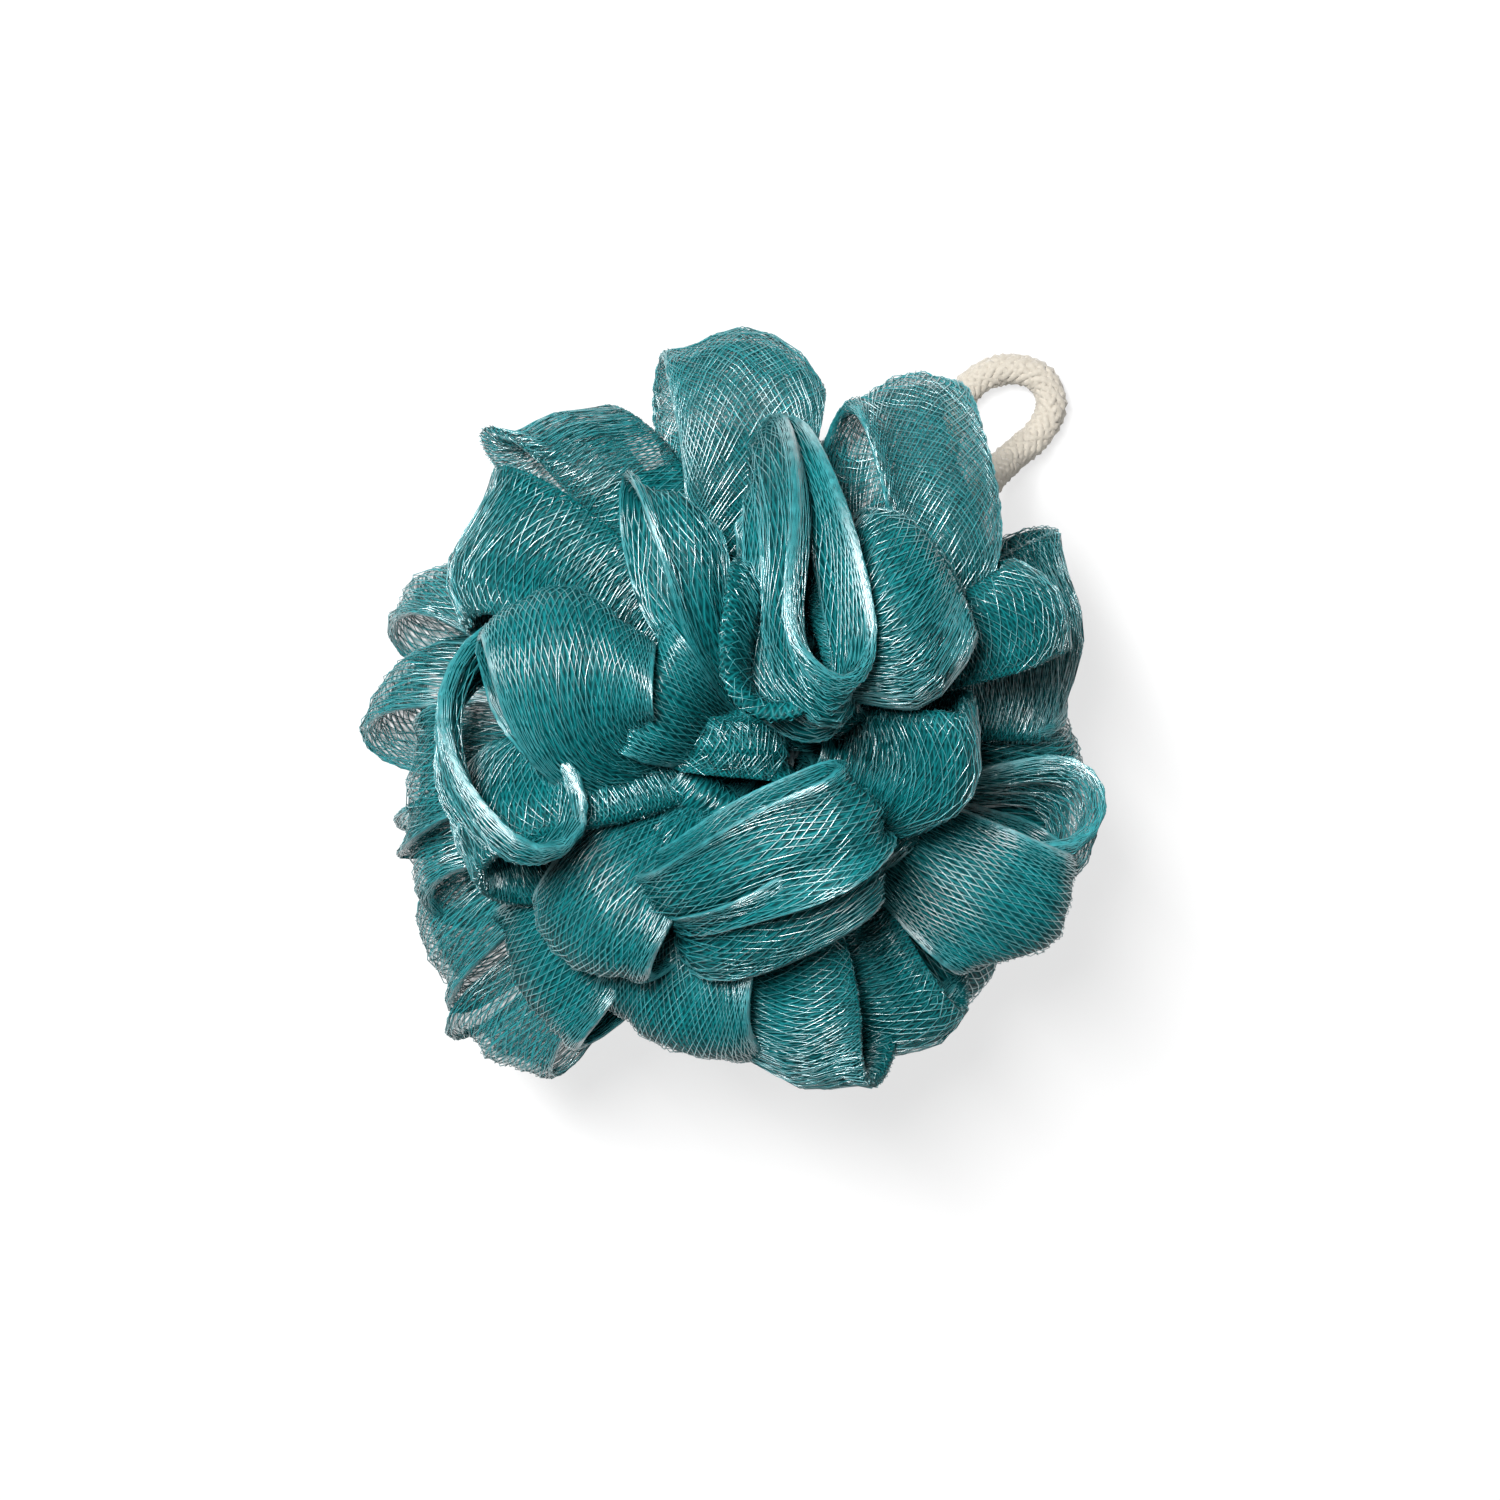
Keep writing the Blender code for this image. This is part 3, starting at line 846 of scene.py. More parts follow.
    def side_ways(self, out: np.ndarray, ahead: np.ndarray) -> tuple[np.ndarray, np.ndarray]:
        """Return the directions beside the middle line and across the tube.

        The direction across is set at the tip by the turn of the fold, carried
        back along the middle line, and then twisted.

        Args:
            out: how far out, from 0 to 1.
            ahead: unit direction of the middle line there.

        Returns:
            Unit directions beside the line and across the tube.
        """
        first, second, tip = self.steering_points()
        last = unit(tip - second)
        halfway = unit(tip + second - first)
        level = unit(np.array([-last[1], last[0], 0.0]))
        turn = math.radians(self.fold.turn)
        upright = math.cos(turn) * np.array([0.0, 0.0, 1.0]) + math.sin(turn) * level
        upright = unit(upright - (last @ upright) * last)
        across_way = carry(carry(upright, last, halfway), halfway, ahead)
        side = np.cross(across_way, ahead)
        twist = (math.radians(self.fold.twist) * (out - self.twist_centre))[..., None]
        beside = side * np.cos(twist) - across_way * np.sin(twist)
        return beside, across_way * np.cos(twist) + side * np.sin(twist)

    def creases(
        self, angle: np.ndarray, out: np.ndarray, reach: np.ndarray, spread: np.ndarray
    ) -> np.ndarray:
        """Return how far the creases push the cloth outwards.

        They are a sum of sines: broad ripples and fine pleats across the tube,
        a ruffle along its two edges, and a lip that turns each edge outwards by
        the square of the way from the lip's start.

        Args:
            angle: place along the loop.
            out: how far out, from 0 to 1.
            reach: place across the tube as a share of its widest half.
            spread: place across the tube as a share of its half width there.

        Returns:
            Distances in metres.
        """
        phase, edge = self.phase, np.sign(reach)
        calm = 1 - self.tip_calm * np.cos(angle) ** 4
        ripple = self.ripple * out * calm * np.sin(
            self.ripple_count * math.pi * reach + phase + self.ripple_turn * angle
        )
        pleat = self.pleat * (1 - self.pleat_fade * out**2) * np.minimum(1.0, 4 * out)
        pleats = pleat * np.sin(self.pleat_count * math.pi * spread + 2 * phase)
        wave = np.sin(self.ruffle_count * angle + 1.7 * phase + 1.5 * edge)
        ruffle = self.ruffle * out * reach**2 * wave
        rim = (np.abs(reach) - self.lip_start) / (1 - self.lip_start)
        lip = self.lip * out * np.clip(rim, 0.0, self.lip_limit) ** 2
        return ripple + pleats + ruffle + lip * (0.5 + 0.5 * np.sin(4 * phase + 1.4 * edge))

    def points(self, angle: np.ndarray, share: np.ndarray) -> np.ndarray:
        """Return places on the tube.

        The place is middle + forward * ahead + sideways * beside + across *
        wide, where forward and sideways carry the loop, its puff and its
        creases.

        Args:
            angle: place along the loop, 0 at the tip and a right angle at the tie.
            share: place round the tube, same shape.

        Returns:
            Places in metres, with one more axis for x, y and z.
        """
        fold, phase = self.fold, self.phase
        half_width = fold.half_width * MM
        step = 1e-4
        out, apart = self.loop_line(angle)
        out_after, apart_after = self.loop_line(angle + step)
        out_before, apart_before = self.loop_line(angle - step)
        middle, slope = self.middle_line(out)
        ahead = unit(slope)
        beside, wide = self.side_ways(out, ahead)
        run = (out_after - out_before) * np.linalg.norm(slope, axis=-1)
        rise = apart_after - apart_before
        length = np.hypot(run, rise)

        width = half_width * (self.root_width + (1 - self.root_width) * out**self.widening)
        puff = self.puff * np.minimum(1.0, self.root_puff + self.puff_growth * out)
        flat = np.maximum(width - puff, self.least_flat * puff)
        across, through = self.section(share, flat, puff)
        reach = across / half_width
        offset = puff * through + self.creases(angle, out, reach, across / width)
        bow = fold.cup * MM * reach**2 * out
        sway = self.sway * np.sin(2 * angle + phase + 2 * reach) * out
        drop = self.edge_drop + self.edge_change * math.sin(3 * phase) + fold.dome
        skew = self.lopsided * math.sin(5 * phase)
        forward = rise / length * offset - half_width * out * (drop * reach**2 - skew * reach)
        sideways = apart - run / length * offset + bow + sway
        places = (
            middle
            + forward[..., None] * ahead
            + sideways[..., None] * beside
            + across[..., None] * wide
        )
        sway_out = self.wave * out[..., None] * self.slow_wave(places)
        return self.pressed(places + sway_out + TIE_PLACE)

    def slow_wave(self, places: np.ndarray) -> np.ndarray:
        """Return a slow sway of the cloth: sums of two sines on each axis.

        Args:
            places: places on the cloth.

        Returns:
            Three shares for each place.
        """
        turns, phase = 2 * math.pi / self.wave_length, self.phase
        x, y, z = places[..., 0], places[..., 1], places[..., 2]
        return np.stack(
            [
                np.sin(turns * y + phase) + np.sin(0.7 * turns * z + 2 * phase),
                np.sin(turns * z + 3 * phase) + np.sin(0.8 * turns * x + phase),
                np.sin(turns * x + 5 * phase) + np.sin(0.6 * turns * y + phase),
            ],
            axis=-1,
        )

    def pressed(self, places: np.ndarray) -> np.ndarray:
        """Squeeze the lowest net towards the floor, evenly below a height.

        Args:
            places: places on the cloth, changed in place.

        Returns:
            The same places.
        """
        height = places[..., 2]
        share = (self.press_top - height) / (self.press_top - self.press_low)
        squeezed = self.press_top - (self.press_top + self.rest_depth) * share
        low = np.where(height < self.press_top, squeezed, height)
        places[..., 2] = np.maximum(low, 0.5 * WEAVES[self.zone].thread_width)
        return places

    def length_along(self, angle: np.ndarray) -> np.ndarray:
        """Return the length along the loop from its tip, signed as the angle.

        It is summed along the middle of one face, a quarter of the way round.

        Args:
            angle: places along the loop.

        Returns:
            Signed lengths in metres.
        """
        fine = np.linspace(-self.root_angle(), self.root_angle(), self.length_steps)
        line = self.points(fine, np.full_like(fine, 0.25))
        steps = np.linalg.norm(np.diff(line, axis=0), axis=-1)
        gone = np.concatenate([[0.0], np.cumsum(steps)])
        return np.interp(angle, fine, gone - gone[self.length_steps // 2])

    def whole_length(self) -> float:
        """Return the length of the loop from the end of one leg to the other."""
        first, last = self.length_along(self.root_angle() * np.array([-1.0, 1.0]))
        return float(last - first)

    def girth(self) -> float:
        """Return the way round the flattened tube at its widest."""
        flat = self.fold.half_width * MM - self.puff
        return 4 * flat + 2 * math.pi * self.puff

    def threads(self) -> Arrays:
        """Return the threads of the loop as arrays.

        Two families of threads run along the tube and slant round it in
        opposite directions, so they cross as diamonds. The place round the
        tube is number / count + side * slant * length / girth, and it is then
        crowded towards the two folds by - c * sin(4 * pi * share) / (4 * pi).
        Each thread has more of its points where it bends more.

        Returns:
            Points, quads and end triangles of every thread of the loop.
        """
        weave = WEAVES[self.zone]
        chance = np.random.default_rng(int(self.phase * 1000) + 7)
        slant = self.fold.slant * (0.8 + 0.4 * chance.random())
        stretch = math.hypot(1.0, slant)
        even = np.linspace(-1.0, 1.0, self.fine_steps)
        crowded = (1 - self.root_crowding) * even + self.root_crowding * even**3
        angle = self.root_angle() * crowded
        length = self.length_along(angle)
        along = length / self.girth()
        count = max(self.least_threads, round(self.girth() / stretch / weave.spacing))
        whole = (length[-1] - length[0]) * stretch
        steps = max(self.least_steps, round(whole / weave.piece_length))
        drift_turn = self.drift_count * math.pi
        drift = 0.5 * np.sin(drift_turn * along + self.phase) / drift_turn
        shares = []
        for side in (-1.0, 1.0):
            number = np.arange(count)[:, None] + self.loose * (chance.random((count, 1)) - 0.5)
            curl = np.sin(
                math.pi * self.wiggle_count * along * chance.uniform(0.7, 1.3, (count, 1))
                + chance.uniform(0.0, self.wiggle_start, (count, 1))
            )
            wound = side * slant * (along + drift)
            shares.append((number + self.wiggle * curl) / count + wound)
        share = np.concatenate(shares)
        share = share - self.edge_crowding * np.sin(4 * math.pi * share) / (4 * math.pi)
        parts = np.diff(self.points(np.broadcast_to(angle, share.shape), share), axis=1)
        sizes = np.linalg.norm(parts, axis=-1)
        bends = np.zeros_like(sizes)
        bends[:, 1:] = np.linalg.norm(np.diff(unit(parts), axis=1), axis=-1)
        weights = sizes / weave.piece_length + self.bend_weight * np.sqrt(bends * sizes / MM)
        gone = np.concatenate([np.zeros((len(share), 1)), np.cumsum(weights, axis=1)], axis=1)
        picked = np.zeros((2, len(share), steps + 1))
        for row in range(len(share)):
            even = np.linspace(0.0, gone[row, -1], steps + 1)
            picked[0, row] = np.interp(even, gone[row], angle)
            picked[1, row] = np.interp(even, gone[row], share[row])
        lines = self.points(*picked)
        beside = self.points(picked[0], picked[1] + self.beside_share) - lines
        return thread_arrays(lines, beside, weave.thread_width, self.thread_sides)

    def lined_length(self, veil: bool) -> float:
        """Return the length of the open tip, or of all the rest of the loop.

        Args:
            veil: whether to measure the open tip.

        Returns:
            The length in metres, both legs together.
        """
        whole = 2 * float(self.length_along(np.array(self.root_angle())))
        if self.fold.lined >= 1:
            return 0.0 if veil else whole
        stop = np.interp(self.fold.lined, *self.way_table())
        tip = 2 * float(self.length_along(np.array(stop)))
        return tip if veil else whole - tip

    def lining_spans(self, veil: bool) -> list[tuple[float, float, int]]:
        """Return the first angle, the last angle and the rows of each strip.

        A strip runs round the whole loop, or up each leg to an end below the
        tip, from where a veil runs over the tip.

        Args:
            veil: whether to cover the open tip instead of the legs.

        Returns:
            One row for each strip.
        """
        end = self.root_angle()
        if self.fold.lined >= 1:
            rows = self.lining_rows if self.zone is Zone.UPPER else 2 * self.lining_rows // 3
            return [] if veil else [(-end, end, rows)]
        stop = float(np.interp(self.fold.lined, *self.way_table()))
        if veil:
            return [(-stop, stop, self.lining_rows)]
        return [(side * end, side * stop, self.lining_rows // 2) for side in (-1.0, 1.0)]

    def lining(self, veil: bool) -> list[Strip]:
        """Return the inner layers of the tube as closed strips just under the threads.

        A strip follows the middle of the tube plus and minus a share of its
        thickness. Its marks count the threads of both families round and along
        the tube, so that a finish can draw the dense net of the inner layers.

        Args:
            veil: whether to return the open tip instead of the dense legs.

        Returns:
            Points, quads, end triangles and corner marks of each strip.
        """
        columns, slant, girth = self.lining_columns, self.fold.slant, self.girth()
        spacing = self.lining_spacing * math.hypot(1.0, slant)
        count = max(self.least_threads, round(girth / spacing))
        even = np.linspace(self.lining_edge, 0.5 - self.lining_edge, columns)
        share = even - self.lining_crowding * np.sin(4 * math.pi * even) / (4 * math.pi)
        round_marks = count * np.concatenate([even, 1 - even[::-1], even[:1] + 1])
        strips = []
        for start, stop, rows in self.lining_spans(veil):
            angle = np.linspace(start, stop, rows)
            angles, shares = np.broadcast_arrays(angle[:, None], share)
            one = self.points(angles, shares)
            other = self.points(angles, 1 - shares)
            middle, half = 0.5 * (one + other), self.lining_depth * (one - other)
            ring = np.concatenate([middle + half, (middle - half)[:, ::-1]], axis=1)
            drift = count * slant * self.length_along(angle)[:, None] / girth
            marks = np.stack([round_marks + drift, round_marks - drift], -1)
            if stop < start:
                ring, marks = ring[::-1], marks[::-1]
            order = np.arange(2 * rows * columns).reshape(rows, 2 * columns)
            around = np.roll(order, -1, axis=1)
            sides = np.stack([order[:-1], order[1:], around[1:], around[:-1]], -1)
            side_marks = np.stack(
                [marks[:-1, :-1], marks[1:, :-1], marks[1:, 1:], marks[:-1, 1:]], -2
            )
            near = np.arange(columns - 1)
            far = 2 * columns - 1 - near
            ends = [
                order[row][np.stack([near, near + 1, far - 1, far], -1)][:, ::turn]
                for row, turn in ((0, 1), (-1, -1))
            ]
            quads = np.concatenate([sides.reshape(-1, 4), *ends])
            corner_marks = np.zeros((4 * len(quads), 2))
            corner_marks[: side_marks.size // 2] = side_marks.reshape(-1, 2)
            no_triangles = np.zeros((0, 3), dtype=int)
            strips.append((ring.reshape(-1, 3), quads, no_triangles, corner_marks))
        return strips


def declare_net(
    piece: bpy.types.Object, loops: list[NetLoop], length: float, arrays: Arrays
) -> None:
    """Attach a piece of net in place of the netting and log its loops, quads and cover.

    Its flat width is the mean way round its loops, and its area is half of
    the skin of its threads or strips.

    Args:
        piece: new piece of net.
        loops: loops that it is made of.
        length: length of its flat tube.
        arrays: points, quads and end triangles of the piece.
    """
    stand_for(piece, "netting")
    girth = sum(loop.girth() for loop in loops) / len(loops)
    area = 0.5 * skin_area(arrays[0], arrays[1])
    cover = area / girth / length
    LOG.info("%s: %d loops, %d quads, cover %.2f", piece.name, len(loops), len(arrays[1]), cover)


@dataclass(frozen=True)
class GatheredNet:
    """All loops of the net, made in a few pieces."""

    upper_folds: list[Fold]
    edge_folds: list[Fold]
    middle_folds: list[Fold]
    phase_step: float = 2.399
    loops_per_piece: int = 8

    def under_folds(self) -> list[Fold]:
        """Return the loops of the underside, spread evenly and varied a little.

        Returns:
            The loops, ring by ring from the widest.
        """
        chance = random.Random(UNDER_SEED)
        folds = []
        for polar, count, first, middle_reach in UNDER_RINGS:
            for index in range(count):
                bearing = math.radians(first + 360.0 / count * index + chance.uniform(-8, 8))
                angle = math.radians(polar + chance.uniform(-4, 4))
                reach = middle_reach + chance.uniform(-2, 2)
                flat_reach = reach * math.sin(angle)
                tip = (
                    flat_reach * math.cos(bearing),
                    flat_reach * math.sin(bearing),
                    reach * math.cos(angle),
                )
                bend = (tip[0] / 2, tip[1] / 2, tip[2] / 2)
                sizes = [chance.uniform(*span) for span in UNDER_SIZES]
                cup, twist = (chance.uniform(*span) for span in UNDER_BENDS)
                folds.append(Fold(bend, tip, *sizes, cup=cup, twist=twist))
        return folds

    def loops(self) -> list[NetLoop]:
        """Return every loop with its own phase for ripples and waves.

        Returns:
            Upper, edge, underside and middle loops, in this order.
        """
        zoned = (
            [(fold, Zone.UPPER) for fold in self.upper_folds]
            + [(fold, Zone.EDGE) for fold in self.edge_folds]
            + [(fold, Zone.UNDER) for fold in self.under_folds()]
            + [(fold, Zone.UPPER) for fold in self.middle_folds]
        )
        return [
            NetLoop(fold, self.phase_step * index, zone)
            for index, (fold, zone) in enumerate(zoned)
        ]

    def build(self, material: bpy.types.Material) -> list[bpy.types.Object]:
        """Make the net in pieces of a few loops each.

        Args:
            material: finish of the threads.

        Returns:
            The pieces, each declared as gathered cloth.
        """
        loops = self.loops()
        pieces = []
        for start in range(0, len(loops), self.loops_per_piece):
            group = loops[start : start + self.loops_per_piece]
            arrays = join_arrays([loop.threads() for loop in group])
            name = f"net_{len(pieces) + 1}"
            piece = add_piece(name, make_mesh(name, *arrays), material)
            declare_net(piece, group, sum(loop.whole_length() for loop in group), arrays)
            pieces.append(piece)
        return pieces


@dataclass(frozen=True)
class NetLining:
    """Inner layers of the net, seen between the outer threads."""

    name: str
    veil: bool

    def build(self, loops: list[NetLoop], material: bpy.types.Material) -> bpy.types.Object:
        """Make the inner layers of every loop as one piece.

        Args:
            loops: every loop of the net.
            material: finish of the dense net.

        Returns:
            The new piece, attached in place of the netting.
        """
        strips = [strip for loop in loops for strip in loop.lining(self.veil)]
        arrays = join_arrays([strip[:3] for strip in strips])
        mesh = make_mesh(self.name, *arrays)
        marks = mesh.uv_layers.new(name="threads")
        marks.data.foreach_set("uv", np.concatenate([strip[3] for strip in strips]).ravel())
        piece = add_piece(self.name, mesh, material)
        length = sum(loop.lined_length(self.veil) for loop in loops)
        declare_net(piece, loops, length, arrays)
        return piece


@dataclass(frozen=True)
class BunchedCore:
    """Net bunched up under the tie, a pleated ball with a waist."""

    radius: float = 10.5 * MM
    waist: float = 0.30
    pleats: int = 26
    pleat_depth: float = 0.8 * MM
    neck_sharpness: float = 6.0
    around: int = 104
    rings: int = 28

    def build(self, material: bpy.types.Material) -> bpy.types.Object:
        """Make the ball.

        The distance from the middle is radius * (1 - waist * exp(-(6 * sin(e)) ** 2
        / 2)) + depth * cos(pleats * turn) * cos(e), with e the height angle.

        Args:
            material: finish of the net.

        Returns:
            The new piece.
        """
        turn = np.arange(self.around) * 2 * math.pi / self.around
        height = np.linspace(-0.5 * math.pi, 0.5 * math.pi, self.rings + 2)[1:-1]
        turns, heights = np.meshgrid(turn, height)
        neck = self.waist * np.exp(-0.5 * (self.neck_sharpness * np.sin(heights)) ** 2)
        pleat = self.pleat_depth * np.cos(self.pleats * turns) * np.cos(heights)
        reach = self.radius * (1 - neck) + pleat
        points = np.stack(
            [
                reach * np.cos(heights) * np.cos(turns),
                reach * np.cos(heights) * np.sin(turns),
                reach * np.sin(heights),
            ],
            axis=-1,
        ).reshape(-1, 3)
        order = np.arange(len(points)).reshape(self.rings, self.around)
        following = np.roll(order, -1, axis=1)
        quads = np.stack([order[:-1], following[:-1], following[1:], order[1:]], -1).reshape(-1, 4)
        low, high = len(points), len(points) + 1
        poles = np.array([[0.0, 0.0, -self.radius], [0.0, 0.0, self.radius]])
        points = np.concatenate([points, poles]) + TIE_PLACE
        bottom = np.stack([np.full(self.around, low), following[0], order[0]], -1)
        top = np.stack([np.full(self.around, high), order[-1], following[-1]], -1)
        mesh = make_mesh("net_core", points, quads, np.concatenate([bottom, top]))
        piece = add_piece("net_core", mesh, material)
        stand_for(piece, "netting")
        LOG.info("net_core: %d quads", len(quads))
        return piece


@dataclass(frozen=True)
class WaistTie:
    """Thin cord wound round the waist of the net, with its knot on top."""

    radius: float = 7.9 * MM
    thickness: float = 0.9 * MM
    turns: float = 2.8
    steps: int = 220
    knot_height: float = 11.5 * MM
    knot_size: float = 1.0 * MM
    knot_thickness: float = 1.5 * MM
    knot_place: tuple[float, float] = (2.1 * MM, -1.2 * MM)
    knot_gap: float = 0.12
    knot_steps: int = 90
    sides: int = 8

    def build(self, material: bpy.types.Material) -> bpy.types.Object:
        """Make the winding, a helix, and the knot, an open threefold knot.

        The knot line is (sin(t) + 2 sin(2t), cos(t) - 2 cos(2t), -sin(3t)).

        Args:
            material: finish of the tie.

        Returns:
            The new piece.
        """
        turn = np.linspace(0.0, 2 * math.pi * self.turns, self.steps)
        rise = (2 * turn / turn[-1] - 1) * self.thickness
        line = np.stack([self.radius * np.cos(turn), self.radius * np.sin(turn), rise], -1)
        beside = np.stack([np.cos(turn), np.sin(turn), np.zeros_like(turn)], -1)
        t = np.linspace(self.knot_gap, 2 * math.pi - self.knot_gap, self.knot_steps)
        knot = self.knot_size * np.stack(
            [
                np.sin(t) + 2 * np.sin(2 * t),
                np.cos(t) - 2 * np.cos(2 * t),
                -np.sin(3 * t),
            ],
            -1,
        )
        middle = np.array([*self.knot_place, self.knot_height])
        winding = thread_arrays(
            line[None] + TIE_PLACE, beside[None], self.thickness, self.sides
        )
        tied = thread_arrays(
            knot[None] + middle + TIE_PLACE, knot[None], self.knot_thickness, self.sides
        )
        mesh = make_mesh("tie_cord", *join_arrays([winding, tied]))
        piece = add_piece("tie_cord", mesh, material)
        stand_for(piece, "waist_tie")
        LOG.info("tie_cord: %d quads", len(winding[1]) + len(tied[1]))
        return piece


@dataclass(frozen=True)
class BraidedCord:
    """Round braided cotton cord laid as a loop, both ends at the tie."""

    diameter: float = 6.2 * MM
    direction: float = math.radians(53.0)
    carriers: int = 8
    yarn: float = 1.75 * MM
    lay: float = 17.0 * MM
    inset: float = 0.22 * MM
    weave_depth: float = 0.26 * MM
    yarn_sides: int = 6
    steps: int = 156
    between: int = 24
    route_points: int = 40

    def path(self, count: int) -> np.ndarray:
        """Return evenly spaced points of the smooth curve through the route.

        Between two route points the curve is a cubic whose slope at each is
        half the way from the point before to the point after.

        Args:
            count: number of points.

        Returns:
            The points, one row each.
        """
        points = np.array(CORD_ROUTE) * MM
        ends = np.vstack([2 * points[0] - points[1], points, 2 * points[-1] - points[-2]])
        t = (np.arange(self.between) / self.between)[None, :, None]
        before, start = ends[:-3, None], ends[1:-2, None]
        end, after = ends[2:-1, None], ends[3:, None]
        fine = 0.5 * (
            2 * start
            + (end - before) * t
            + (2 * before - 5 * start + 4 * end - after) * t**2
            + (3 * start - before - 3 * end + after) * t**3
        )
        fine = np.vstack([fine.reshape(-1, 3), points[-1]])
        steps = np.linalg.norm(np.diff(fine, axis=0), axis=1)
        gone = np.concatenate([[0.0], np.cumsum(steps)])
        even = np.linspace(0.0, gone[-1], count)
        line = np.stack([np.interp(even, gone, fine[:, axis]) for axis in range(3)], -1)
        out, aside, height = line.T
        ahead_x, ahead_y = math.cos(self.direction), math.sin(self.direction)
        return np.stack(
            [
                out * ahead_x - aside * ahead_y + TIE_PLACE[0],
                out * ahead_y + aside * ahead_x + TIE_PLACE[1],
                height,
            ],
            axis=-1,
        )

    def yarns(self) -> Arrays:
        """Return the braid as arrays.

        Each yarn winds round the path at angle 2 * pi * (number / count +-
        length / lay) and weaves in and out by a sine of the crossings.

        Returns:
            Points, quads and end triangles of every yarn.
        """
        line = self.path(self.steps)
        ahead = unit(np.gradient(line, axis=0))
        aside = unit(np.cross(ahead, np.array([0.0, 0.0, 1.0])))
        over = np.cross(aside, ahead)
        gone = np.linspace(0.0, self.length(), self.steps)
        middle = 0.5 * (self.diameter - self.yarn) - self.inset
        lines = []
        for side in (-1.0, 1.0):
            for number in range(self.carriers):
                turn = 2 * math.pi * (number / self.carriers + side * gone / self.lay)
                cross = self.carriers * gone / self.lay * math.pi * 2
                reach = middle + self.weave_depth * side * np.sin(cross + math.pi * number)
                lines.append(
                    line
                    + (reach * np.cos(turn))[:, None] * aside
                    + (reach * np.sin(turn))[:, None] * over
                )
        lines = np.stack(lines)
        beside = unit(lines - line[None])
        return thread_arrays(lines, beside, self.yarn, self.yarn_sides)

    def length(self) -> float:
        """Return the length of the cord."""
        return float(np.linalg.norm(np.diff(self.path(400), axis=0), axis=1).sum())

    def build(self, material: bpy.types.Material) -> bpy.types.Object:
        """Args:
            material: finish of the cotton.

        Returns:
            The new piece.
        """
        arrays = self.yarns()
        piece = add_piece("cord_loop", make_mesh("cord_loop", *arrays), material)
        stand_for(piece, "hanging_loop")
        LOG.info("cord_loop: %.0f mm long, %d quads", self.length() / MM, len(arrays[1]))
        return piece


# Studio


@dataclass(frozen=True)
class Lamp:
    """Soft lamp that looks at the middle of the pouf."""

    name: str
    place: tuple[float, float, float]
    size: tuple[float, float]
    power: float
    target: tuple[float, float, float] = (0.0, 0.0, 0.05)

    def build(self) -> None:
        """Make the lamp."""
        light = bpy.data.lights.new(self.name, "AREA")
        light.shape = "RECTANGLE"
        light.size, light.size_y = self.size
        light.energy = self.power
        lamp = bpy.data.objects.new(self.name, light)
        lamp.location = self.place
        towards = Vector(self.target) - Vector(self.place)
        lamp.rotation_euler = towards.to_track_quat("-Z", "Y").to_euler()
        bpy.context.scene.collection.objects.link(lamp)


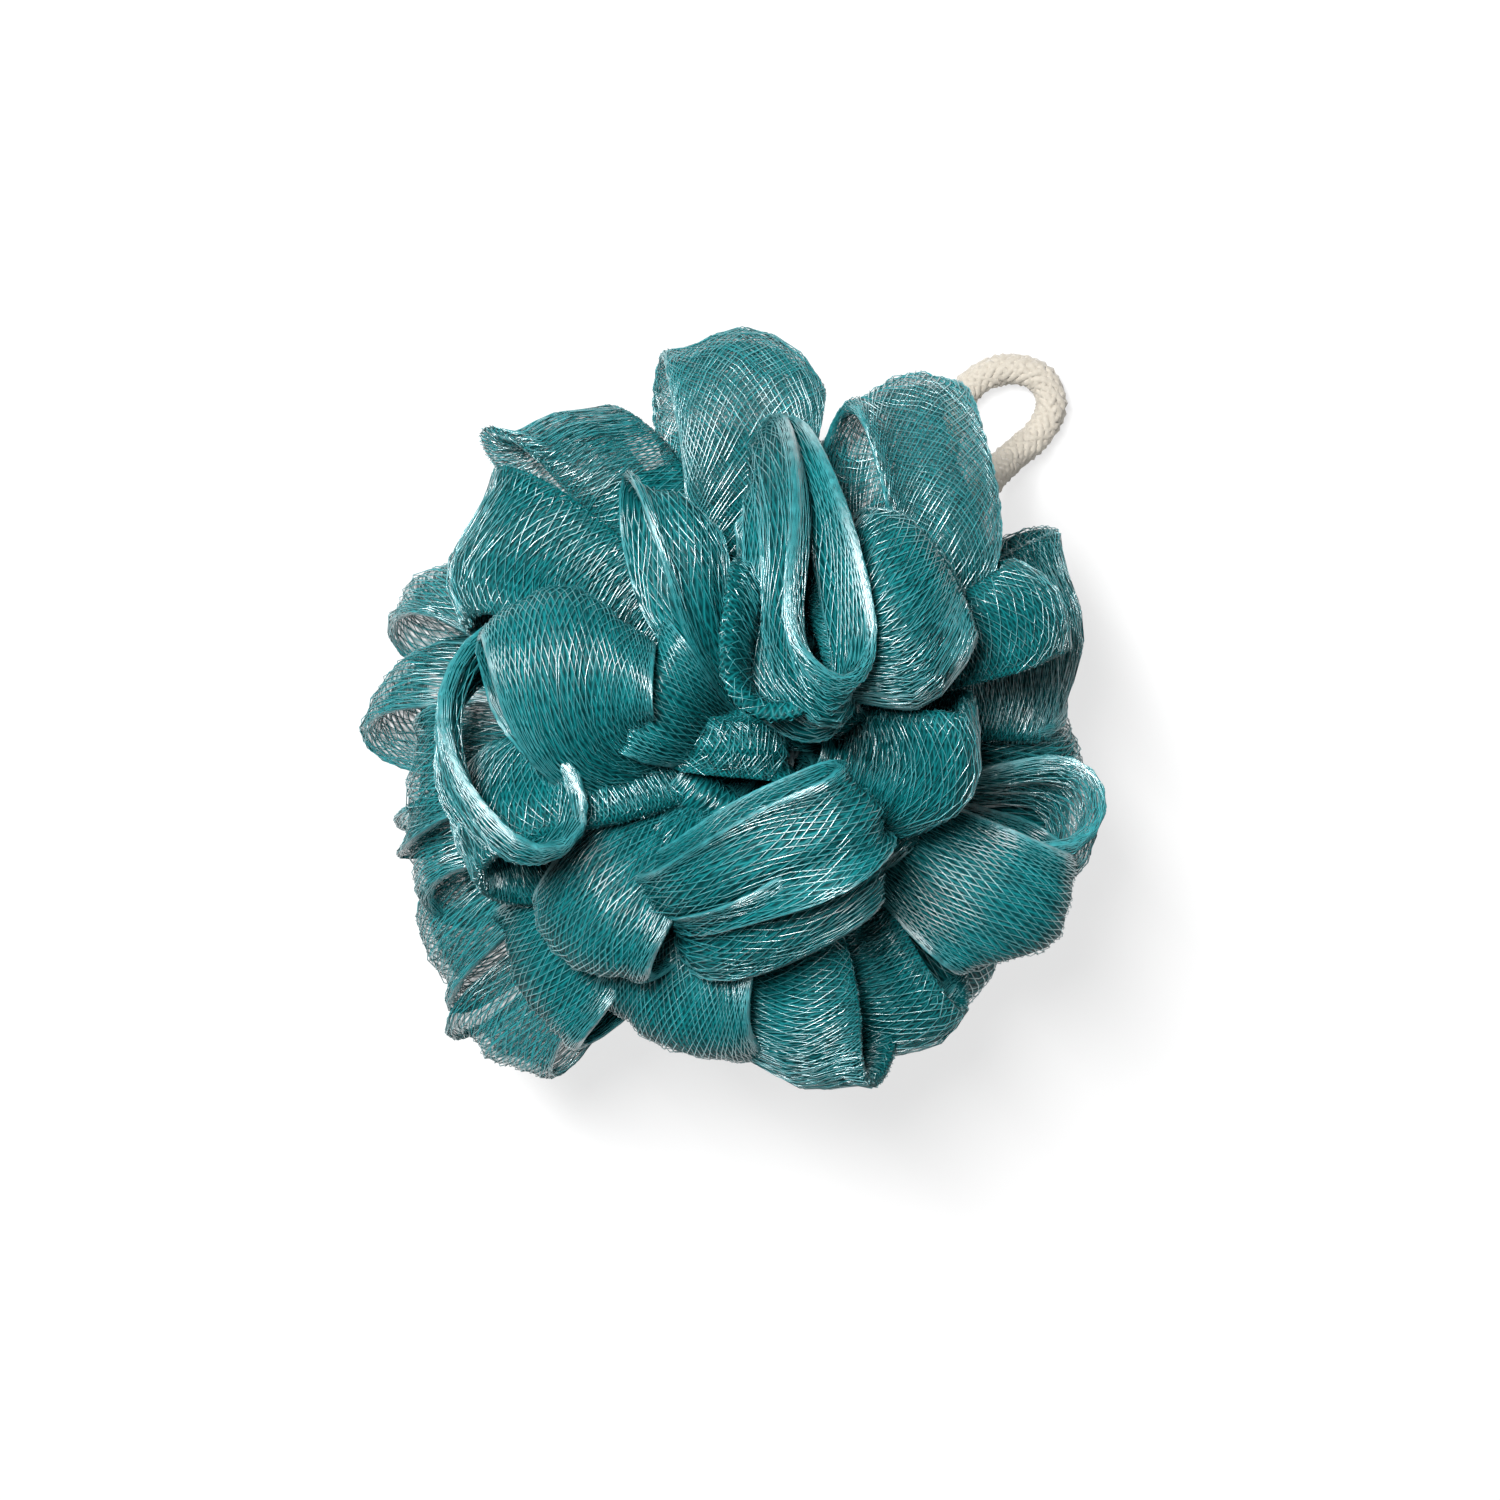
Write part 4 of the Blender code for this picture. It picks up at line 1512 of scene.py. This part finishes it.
@dataclass(frozen=True)
class Studio:
    """Pale floor, soft lamps and the camera above the pouf."""

    key_lamp: Lamp = Lamp("key_lamp", (-0.22, 0.24, 0.85), (0.18, 0.46), 14.0)
    fill_lamp: Lamp = Lamp("fill_lamp", (0.55, -0.35, 0.70), (0.40, 0.40), 0.8)
    surround: float = 0.075
    floor_size: float = 3.0
    floor_tone: float = 0.9
    floor_roughness: float = 0.8
    floor_glow: float = 0.72
    distance: float = 0.60
    view_width: float = 0.2586
    image_width: float = 1500.0
    sensor_width: float = 36.0
    tie_pixel: tuple[float, float] = (770.0, 745.0)

    def build(self) -> None:
        """Make the floor, the lamps, the world and the camera."""
        self.floor()
        self.key_lamp.build()
        self.fill_lamp.build()
        self.world()
        self.camera()
        bpy.context.scene.view_settings.view_transform = "Standard"

    def floor(self) -> None:
        """Make the floor, nearly white to the camera apart from shadows."""
        half = 0.5 * self.floor_size
        points = np.array([[-half, -half, 0], [half, -half, 0], [half, half, 0], [-half, half, 0]])
        mesh = make_mesh("floor", points, np.array([[0, 1, 2, 3]]), np.zeros((0, 3), dtype=int))
        graph = NodeGraph("pale_floor")
        tone = (self.floor_tone, self.floor_tone, self.floor_tone, 1.0)
        graph.feed(graph.shader, {"Base Color": tone, "Roughness": self.floor_roughness})
        glow = graph.add("ShaderNodeEmission", {"Color": (1.0, 1.0, 1.0, 1.0)})
        seen = graph.nodes.new("ShaderNodeLightPath").outputs["Is Camera Ray"]
        values = {
            "Fac": graph.maths("MULTIPLY", seen, self.floor_glow),
            1: graph.shader.outputs["BSDF"],
            2: glow.outputs["Emission"],
        }
        both = graph.add("ShaderNodeMixShader", values)
        graph.feed(graph.nodes["Material Output"], {"Surface": both.outputs["Shader"]})
        add_piece("floor", mesh, graph.material)

    def world(self) -> None:
        """Make an even white surround."""
        world = bpy.data.worlds.new("studio_world")
        world.use_nodes = True
        ground = world.node_tree.nodes["Background"]
        ground.inputs["Color"].default_value = (1.0, 1.0, 1.0, 1.0)
        ground.inputs["Strength"].default_value = self.surround
        bpy.context.scene.world = world

    def camera(self) -> None:
        """Make the camera, looking straight down with the back of the pouf up."""
        camera = bpy.data.cameras.new("camera")
        camera.sensor_width = self.sensor_width
        camera.lens = self.sensor_width * self.distance / self.view_width
        camera.shift_x = (0.5 * self.image_width - self.tie_pixel[0]) / self.image_width
        camera.shift_y = (self.tie_pixel[1] - 0.5 * self.image_width) / self.image_width
        holder = bpy.data.objects.new("camera", camera)
        place = Vector(TIE_PLACE) + Vector((0.0, 0.0, self.distance))
        holder.matrix_world = Matrix.Translation(place)
        bpy.context.scene.collection.objects.link(holder)
        bpy.context.scene.camera = holder


def main() -> None:
    """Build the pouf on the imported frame."""
    logging.basicConfig(level=logging.INFO)
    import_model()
    Studio().build()
    BraidedCord().build(CREAM_COTTON.material("cream_cotton"))
    gathered = GatheredNet(UPPER_FOLDS, EDGE_FOLDS, MIDDLE_FOLDS)
    gathered.build(OUTER_NET.material("teal_net"))
    loops = gathered.loops()
    open_loops = [loop for loop in loops if loop.fold.lined < 1]
    NetLining("net_lining", False).build(loops, SHADED_INNER_NET.material("shaded_teal_lining"))
    NetLining("net_veil", True).build(open_loops, OPEN_NET.material("teal_veil"))
    WaistTie().build(GREY_COTTON.material("grey_cord"))
    BunchedCore().build(SHADED_CORE_NET.material("shaded_teal_core"))


if __name__ == "__main__":
    main()
